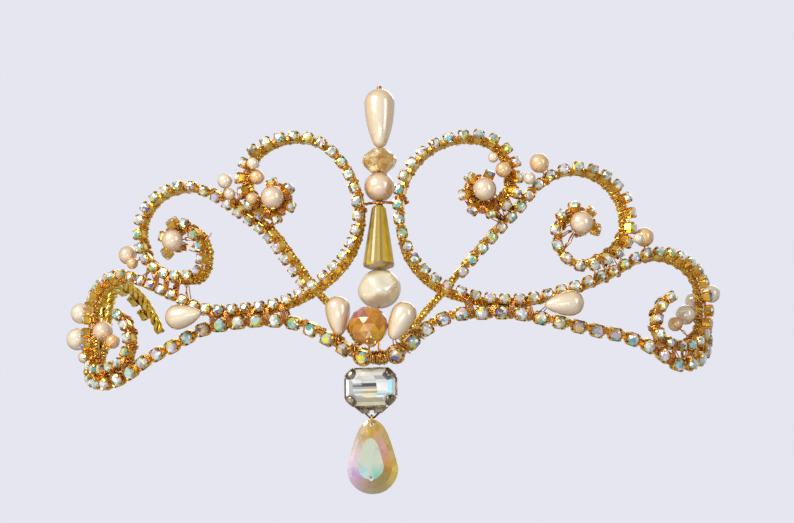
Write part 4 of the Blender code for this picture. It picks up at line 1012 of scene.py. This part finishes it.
def amber_tint(x, y, z):
    if x < -0.6 and z > 1.0:
        return draw.choice(["c07068", "b87078", "c88468"])
    # Painted light: brighter yellow facets at the lower right
    if x > 1.2 and z < -1.2:
        return draw.choice(["ffc41c", "ffb818", "ffd040"])
    # A painted highlight: pale facets low in the middle of the front
    if abs(x) < 1.4 and -3.4 < z < -1.2 and y < 0.0:
        return draw.choice(["fff8ea", "f4cc88", "e4ac5c"])
    return draw.choice(["d8942e", "d08a28", "dc9836", "cc8428"])


cut_bead("rondelle", [(0.0, 1.0, 0.0), (0.50, 1.0, 0.0), (0.88, 0.50, 0.5), (1.0, 0.10, 0.0),
                      (1.0, -0.10, 0.0), (0.88, -0.50, 0.5), (0.50, -1.0, 0.0), (0.0, -1.0, 0.0)],
         12, rondelle_tint, CHAMPAGNE, PIN_WAY)
cut_bead("cone_bead", [(0.0, 1.0, 0.0), (0.36, 1.0, 0.0), (0.46, 0.93, 0.0), (1.0, -0.86, 0.0),
                       (0.97, -0.94, 0.0), (0.70, -1.0, 0.0), (0.0, -1.0, 0.0)],
         CONE_SIDES, cone_tint, OLIVE, PIN_WAY)
cut_bead("amber_bead", [(0.0, 1.0, 0.0), (0.40, 0.96, 0.0), (0.74, 0.70, 0.5), (0.95, 0.32, 0.0),
                        (0.99, -0.06, 0.5), (0.90, -0.45, 0.0), (0.66, -0.78, 0.5), (0.38, -0.97, 0.0),
                        (0.0, -1.0, 0.0)],
         11, amber_tint, AMBER, UP)

# Dents of the baroque pearl: (across, back, up) direction, width and depth as a share of the radius
DENTS = [((0.45, -1.0, 0.35), 0.40, 0.17), ((-0.60, -0.9, -0.10), 0.42, 0.12),
         ((0.9, -0.5, -0.4), 0.40, 0.10), ((-1.0, -0.2, 0.5), 0.50, 0.09), ((0.15, -0.8, -0.95), 0.40, 0.10),
         ((-0.1, -0.7, 1.0), 0.40, 0.08), ((0.6, 1.0, 0.2), 0.50, 0.10), ((-0.6, 1.0, -0.2), 0.55, 0.10),
         ((0.0, 0.8, 0.9), 0.40, 0.07)]
middle, half = box_of("baroque_pearl")
skin = Skin()
turned(skin, [(math.sin(a), math.cos(a)) for a in np.linspace(0.0, math.pi, 40)], 60, 0.0, frame_of(PIN_WAY))
ball = skin.points[0]
heading = unit(ball)
for direction, width, depth in DENTS:
    away = np.arccos(np.clip(heading @ unit(direction), -1.0, 1.0))
    ball = ball - heading * (depth * np.exp(-(away / width) ** 2))[:, None]
skin.points[0] = ball * half + middle
skin.build("bead_baroque_pearl", [CREAM_PEARL], ["baroque_pearl"])

# Pendant
STONE_SIZE = (12.8, 9.5)
STONE_CORNER = 2.5
STONE_CROWN = 1.6
SETTING_DEPTH = 3.4
SETTING_EDGE = 0.7
# The clear stone's colours are painted reflections: pale ones for light, and grey, smoke and dark ones for
# painted shade
CLEAR = {"white": "ffffff", "pale": "e2e6e4", "mist": "d8ddd2", "grey": "b6bbba", "smoke": "7c808a",
         "dark": "555964", "cream": "f0ecc4", "ice": "93d6e6", "beige": "bdb6a4"}
# The stone's crown facets from the right, clockwise: outer step, then inner step, each with its painted
# reflection
CROWN_TINTS = ["white", "pale", "cream", "beige", "white", "grey", "mist", "pale",
               "ice", "white", "beige", "grey", "grey", "white", "pale", "smoke"]
# Painted reflections in the table, with a dark band of painted shade, from its top: (share of its height,
# left end, middle, right end)
TABLE_BANDS = [(0.00, "pale", "mist", "grey"), (0.18, "white", "mist", "pale"),
               (0.34, "grey", "dark", "white"), (0.42, "smoke", "dark", "white"),
               (0.50, "grey", "beige", "white"), (0.60, "pale", "cream", "white"),
               (0.70, "grey", "beige", "pale"), (0.80, "pale", "cream", "ice"),
               (0.90, "grey", "cream", "white")]
# The stone's steps and the cup's wall: (how far in from the outline, how far in front of the girdle)
STONE_STEPS = [(0.36 * STONE_SIZE[1], -2.8), (0.0, -0.1), (0.0, 0.2), (0.85, 0.9), (1.9, STONE_CROWN)]
CUP_STEPS = [(-SETTING_EDGE + 0.28, 0.15), (-SETTING_EDGE + 0.20, -0.15), (-0.30, -1.4), (0.6, -2.6),
             (1.4, -SETTING_DEPTH), (2.2, -SETTING_DEPTH + 0.2), (0.1, -1.0), (-0.22, 0.1)]
# A tab's path: (how far off the wall, how far in front of the girdle, half width)
TAB_PATH = [(0.30, -2.4, 1.0), (0.62, -1.0, 1.25), (0.72, 0.2, 1.5), (0.62, 0.9, 1.6), (0.10, 1.42, 1.45),
            (-0.55, 1.75, 1.05), (-1.0, 1.85, 0.55)]
PLATE = [(-4.3, -5.0), (4.3, -5.0), (2.6, -6.5), (0.7, -6.5), (0.5, -5.7), (-0.5, -5.7), (-0.7, -6.5),
         (-2.6, -6.5)]
PLATE_FRONT, PLATE_BACK = -1.0, -2.0
middle, half = box_of("pendant_stone")
GIRDLE = middle + (0.0, STONE_CROWN - half[1], 0.0)


def octagon(shrink):
    """An octagon's corners as (x, z), clockwise from the right's upper one, moved in by shrink."""
    x, z = STONE_SIZE[0] / 2 - shrink, STONE_SIZE[1] / 2 - shrink
    corner = STONE_CORNER - 0.6 * shrink
    return [(x, z - corner), (x, corner - z), (x - corner, -z), (corner - x, -z),
            (-x, corner - z), (-x, z - corner), (corner - x, z), (x - corner, z)]


def front_ring(outline, out):
    """Corners as seen from the front, at a depth in front of the girdle."""
    return [GIRDLE + (x, -out, z) for x, z in outline]


skin = Skin()
rings = [front_ring(octagon(shrink), out) for shrink, out in STONE_STEPS]
# Grey painted shade on the pavilion and girdle, painted reflections on the crown, and dark painted shade on
# the back face
tints = [rgb(CLEAR["grey"])] * 16 + [rgb(CLEAR[name]) for name in CROWN_TINTS]
skin.add(rings, [face[::-1] for face in grid_faces(len(rings), 8)], tints)
skin.add(rings[0], [tuple(range(8))], [rgb(CLEAR["dark"])])
outline = octagon(STONE_STEPS[-1][0])
(table_half, table_side), table_top = outline[0], outline[6][1]


def table_half_width(z):
    return table_half - max(0.0, abs(z) - table_side)


# The table's bands of painted reflection and painted shade
shares = [row[0] for row in TABLE_BANDS] + [1.0]
for index, (share, *names) in enumerate(TABLE_BANDS):
    next_share = shares[index + 1]
    z_top, z_low = table_top - 2 * table_top * share, table_top - 2 * table_top * next_share
    # Where the band is cut, at its top and at its foot
    cuts = [(-1.0, -1.0), (-0.50 + 0.14 * math.sin(3 * index), -0.50 + 0.14 * math.sin(3 * index + 3)),
            (0.30 + 0.16 * share, 0.30 + 0.16 * next_share), (1.0, 1.0)]
    breaks = [z for z in (z_top, table_side, -table_side, z_low) if z_low <= z <= z_top]
    for name, (left, left_foot), (right, right_foot) in zip(names, cuts, cuts[1:]):
        for upper, lower in zip(breaks, breaks[1:]):
            wide, foot_wide = table_half_width(upper), table_half_width(lower)
            edge = [(left * wide, upper), (right * wide, upper),
                    (right_foot * foot_wide, lower), (left_foot * foot_wide, lower)]
            tint = lit(CLEAR[name], draw.uniform(0.9, 1.08))
            skin.add(front_ring(edge, STONE_CROWN), [(3, 2, 1, 0)], [tint])
skin.build("cut_pendant_stone", [PENDANT_GLASS], ["pendant_stone"])

skin = Skin()
skin.add([front_ring(octagon(shrink), out) for shrink, out in CUP_STEPS], grid_faces(len(CUP_STEPS), 8, True))
# Tabs: up the cup's wall and folded over the stone's cut corners
for across, up in ((-1, -1), (-1, 1), (1, -1), (1, 1)):
    outward = unit([across, 0.0, up])
    lift = unit(outward * 0.6 + (0.0, -0.8, 0.0)) * 0.30
    foot = GIRDLE + (across * (STONE_SIZE[0] - STONE_CORNER) / 2, 0.0,
                     up * (STONE_SIZE[1] - STONE_CORNER) / 2)
    rings = []
    for away, out, wide in TAB_PATH:
        spine = foot + outward * away + (0.0, -out, 0.0)
        edge = unit([-up, 0.0, across]) * wide
        rings.append([spine - edge, spine - edge * 0.5 + lift, spine + edge * 0.5 + lift, spine + edge,
                      spine + edge * 0.5 - lift * 0.6, spine - edge * 0.5 - lift * 0.6])
    skin.add(rings, rod_faces(len(TAB_PATH), 6), smooth=True)
skin.add([front_ring(PLATE, out) for out in (PLATE_FRONT, PLATE_BACK)], rod_faces(2, 8))
skin.build("claw_setting", [ANTIQUE], ["pendant_setting"])
for node, material in (("pendant_bail", ANTIQUE), ("finial_pin", COPPER), ("drop_ring", CUP_GOLD)):
    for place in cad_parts[node].material_slots:
        place.material = material

# Pear drop
PEAR_WIDTH, PEAR_LENGTH, PEAR_THICKNESS, PEAR_EDGE = 13.3, 19.3, 4.8, 1.0
PEAR_TAPER = PEAR_LENGTH - PEAR_WIDTH / 2
PEAR_SIDES = 32
PEAR_HOLE_RADIUS = 0.6
TOP_HOLE_DOWN, LOW_HOLE_UP = 1.35, 3.6
# The pear's rings, from its back: (scale, scale of the tapered part, how far forward)
PEAR_RINGS = [(0.97, 0.97, 0.0), (1.0, 1.0, 0.25), (1.0, 1.0, PEAR_EDGE - 0.15),
              (0.975, 0.94, 1.12 * PEAR_EDGE), (0.80, 0.78, 0.62 * PEAR_THICKNESS),
              (0.50, 0.58, PEAR_THICKNESS)]
# The colours that the pear's coating shows, anticlockwise from its bottom, in twelfths of a turn
PEAR_FACETS = ["bca478", "b0a258", "c4a850", "f0b058", "f6b078", "f4bcb0",
               "c4a040", "c8bab0", "d8c4cc", "d6c0d8", "c8a6dc", "c8a090"]
# Round the edge, the bright yellows at the right are painted highlights; the rest are the coating's colours
PEAR_EDGES = ["c4b484", "c8b06c", "f4d868", "fae050", "e8cc88", "d8b660",
              "c8aa58", "ccbcb0", "dcc8cc", "dcc4d8", "d4b8cc", "ccb4a8"]
middle, half = box_of("pear_drop")
PEAR_CENTRE = middle + (0.0, half[1], PEAR_WIDTH / 2 - half[2])


def pear_ring(scale, tip_scale, out):
    """A pear from the front, from the bottom anticlockwise, round the middle of its round end."""
    rows = []
    for step in range(PEAR_SIDES):
        turn = math.tau * step / PEAR_SIDES
        x, z = math.sin(turn), -math.cos(turn)
        if z > 0:
            x = math.copysign(1.0 - (1.0 - abs(x)) ** 0.86, x) * (1.0 - 0.10 * math.sin(math.pi * z))
        up = PEAR_TAPER * z * tip_scale if z > 0 else PEAR_WIDTH / 2 * z * scale
        rows.append(PEAR_CENTRE + (PEAR_WIDTH / 2 * x * scale, -out, up))
    return rows


def blended(colours, x, z):
    """A colour between its neighbours round the pear."""
    turn = (math.atan2(x, -z) / math.tau) % 1.0 * 12
    low = int(turn) % 12
    first, second = np.array(rgb(colours[low])), np.array(rgb(colours[(low + 1) % 12]))
    return first + (second - first) * (turn - int(turn))


def table_colour(x, z):
    """Pale green, with teal at its lower right and cyan at its lower left edge."""
    base, teal, cyan = np.array(rgb("ccd8c4")), np.array(rgb("74c8b4")), np.array(rgb("a4e4f4"))
    low = min(1.0, max(0.0, (0.4 - z) / 3.4))
    base = base + (teal - base) * low * min(1.0, max(0.0, (x + 1.0) / 2.4))
    return base + (cyan - base) * low * min(1.0, max(0.0, (-x - 0.6) / 1.6))


def drilled(mesh, spots):
    """A mesh with holes through it from front to back."""
    body = new_object("body", mesh)
    tools = []
    for spot in spots:
        skin = Skin()
        tube(skin, [spot + (0.0, 8.0, 0.0), spot, spot - (0.0, 8.0, 0.0)], PEAR_HOLE_RADIUS, 16, smooth=False)
        skin.tints = [rgb("b4c4cc")] * len(skin.faces)
        tools.append(new_object("drill", skin.mesh("drill", [PEAR_GLASS])))
        cut = body.modifiers.new("hole", "BOOLEAN")
        cut.operation = "DIFFERENCE"
        cut.solver = "EXACT"
        cut.object = tools[-1]
    done = bpy.data.meshes.new_from_object(body.evaluated_get(bpy.context.evaluated_depsgraph_get()))
    for item in [body] + tools:
        bpy.data.objects.remove(item)
    return done


skin = Skin()
rings = [pear_ring(*row) for row in PEAR_RINGS]
skin.add(rings, [face[::-1] for face in grid_faces(len(rings), PEAR_SIDES)])
skin.add(rings[0], [tuple(range(PEAR_SIDES))])
skin.add(rings[-1] + [np.mean(rings[-1], 0)],
         [(i, PEAR_SIDES, (i + 1) % PEAR_SIDES) for i in range(PEAR_SIDES)])
pear_mesh = skin.mesh("cut_pear", [PEAR_GLASS])
# Faces in order: four rows of the edge, one of main facets, the back, then the table
edge_faces, crown_faces = 4 * PEAR_SIDES, 5 * PEAR_SIDES
colours = []
for face in pear_mesh.polygons:
    level = draw.uniform(0.95, 1.05) if face.index < crown_faces else 1.0
    for corner in face.vertices:
        x, _, z = np.array(pear_mesh.vertices[corner].co) / MM - PEAR_CENTRE
        if face.index < edge_faces:
            colour = blended(PEAR_EDGES, x, z)
        elif face.index <= crown_faces:
            colour = blended(PEAR_FACETS, x, z)
        else:
            colour = table_colour(x, z)
        colours += [*np.minimum(colour * level, 1.0), 1.0]
pear_mesh.attributes["tint"].data.foreach_set("color", colours)
pear_mesh = drilled(pear_mesh, [PEAR_CENTRE + (0.0, 0.0, PEAR_TAPER - TOP_HOLE_DOWN),
                                PEAR_CENTRE + (0.0, 0.0, LOW_HOLE_UP - PEAR_WIDTH / 2)])
place_piece("cut_pear", pear_mesh, ["pear_drop"], "drop")

# The photograph's camera: angles from degrees, and lengths on the picture in its pixels
AZIMUTH, ELEVATION, ROLL = (math.radians(angle) for angle in (6.27, -10.87, 0.84))
PHOTO_WIDTH, FOCAL_LENGTH, SHIFT = 794, 2692, (18.3, -0.9)
SENSOR_WIDTH = 36.0
CAMERA_AIM = np.array([0.0, -0.044, 0.028])
CAMERA_DISTANCE = 0.70
back = np.array([math.sin(AZIMUTH) * math.cos(ELEVATION), -math.cos(AZIMUTH) * math.cos(ELEVATION),
                 math.sin(ELEVATION)])
level = np.array([math.cos(AZIMUTH), math.sin(AZIMUTH), 0.0])
upright = np.cross(level, -back)
right = math.cos(ROLL) * level - math.sin(ROLL) * upright
up = math.sin(ROLL) * level + math.cos(ROLL) * upright
place = CAMERA_AIM + back * CAMERA_DISTANCE
camera_data = bpy.data.cameras.new("photo_camera")
camera_data.lens = SENSOR_WIDTH * FOCAL_LENGTH / PHOTO_WIDTH
camera_data.sensor_width = SENSOR_WIDTH
camera_data.shift_x, camera_data.shift_y = SHIFT[0] / PHOTO_WIDTH, SHIFT[1] / PHOTO_WIDTH
camera_data.clip_start, camera_data.clip_end = 0.01, 20.0
camera = new_object("photo_camera", camera_data)
camera.matrix_world = Matrix([[right[i], up[i], back[i], place[i]] for i in range(3)] + [[0, 0, 0, 1]])
bpy.context.scene.camera = camera


def area_light(name, place, aim, size, power, colour):
    data = bpy.data.lights.new(name, "AREA")
    data.shape = "RECTANGLE"
    data.size, data.size_y = size
    data.energy = power
    data.color = rgb(colour)
    item = new_object(name, data)
    item.location = place
    item.rotation_euler = (Vector(aim) - Vector(place)).to_track_quat("-Z", "Y").to_euler()


area_light("window", (-0.75, -0.95, 0.75), (0, -0.02, 0.03), (0.58, 0.66), 22.5, "fffaf2")
area_light("fill", (0.95, -0.75, 0.25), (0, -0.02, 0.03), (0.4, 0.8), 2.4, "f2f4ff")
area_light("front", (0.1, -1.35, -0.25), (0, -0.02, 0.03), (0.7, 0.25), 2, "fff4e6")
area_light("back", (0.25, 1.1, 0.8), (0, 0.0, 0.03), (0.9, 0.6), 3, "ffffff")

bpy.context.scene.view_settings.view_transform = "Standard"

# A bright wall behind the tiara, and a dimmer room in front of it, which the metal reflects
world = bpy.data.worlds.new("studio")
bpy.context.scene.world = world
world.use_nodes = True
heading = add_node(world, "TexCoord").outputs["Generated"]
depth = add_node(world, "SeparateXYZ", Vector=heading).outputs["Y"]
shade = add_node(world, "MapRange", From_Min=-0.25, From_Max=0.65, To_Min=0.38, To_Max=0.90, Value=depth)
shade.interpolation_type = "SMOOTHSTEP"
set_sockets(world, world.node_tree.nodes["Background"],
            {"Color": (*rgb("f0f1fb"), 1.0), "Strength": shade.outputs["Result"]})

FLOOR_RADIUS, FLOOR_UP, FLOOR_SIDES = 2.0, -0.30, 48
corners = [(FLOOR_RADIUS * math.cos(turn), FLOOR_RADIUS * math.sin(turn), FLOOR_UP)
           for turn in np.arange(FLOOR_SIDES) * math.tau / FLOOR_SIDES]
floor_mesh = bpy.data.meshes.new("floor")
floor_mesh.from_pydata(corners, [], [tuple(range(FLOOR_SIDES))])
floor_mesh.materials.append(new_material("floor", "b3b3b6", Roughness=0.8))
floor = new_object("floor", floor_mesh)
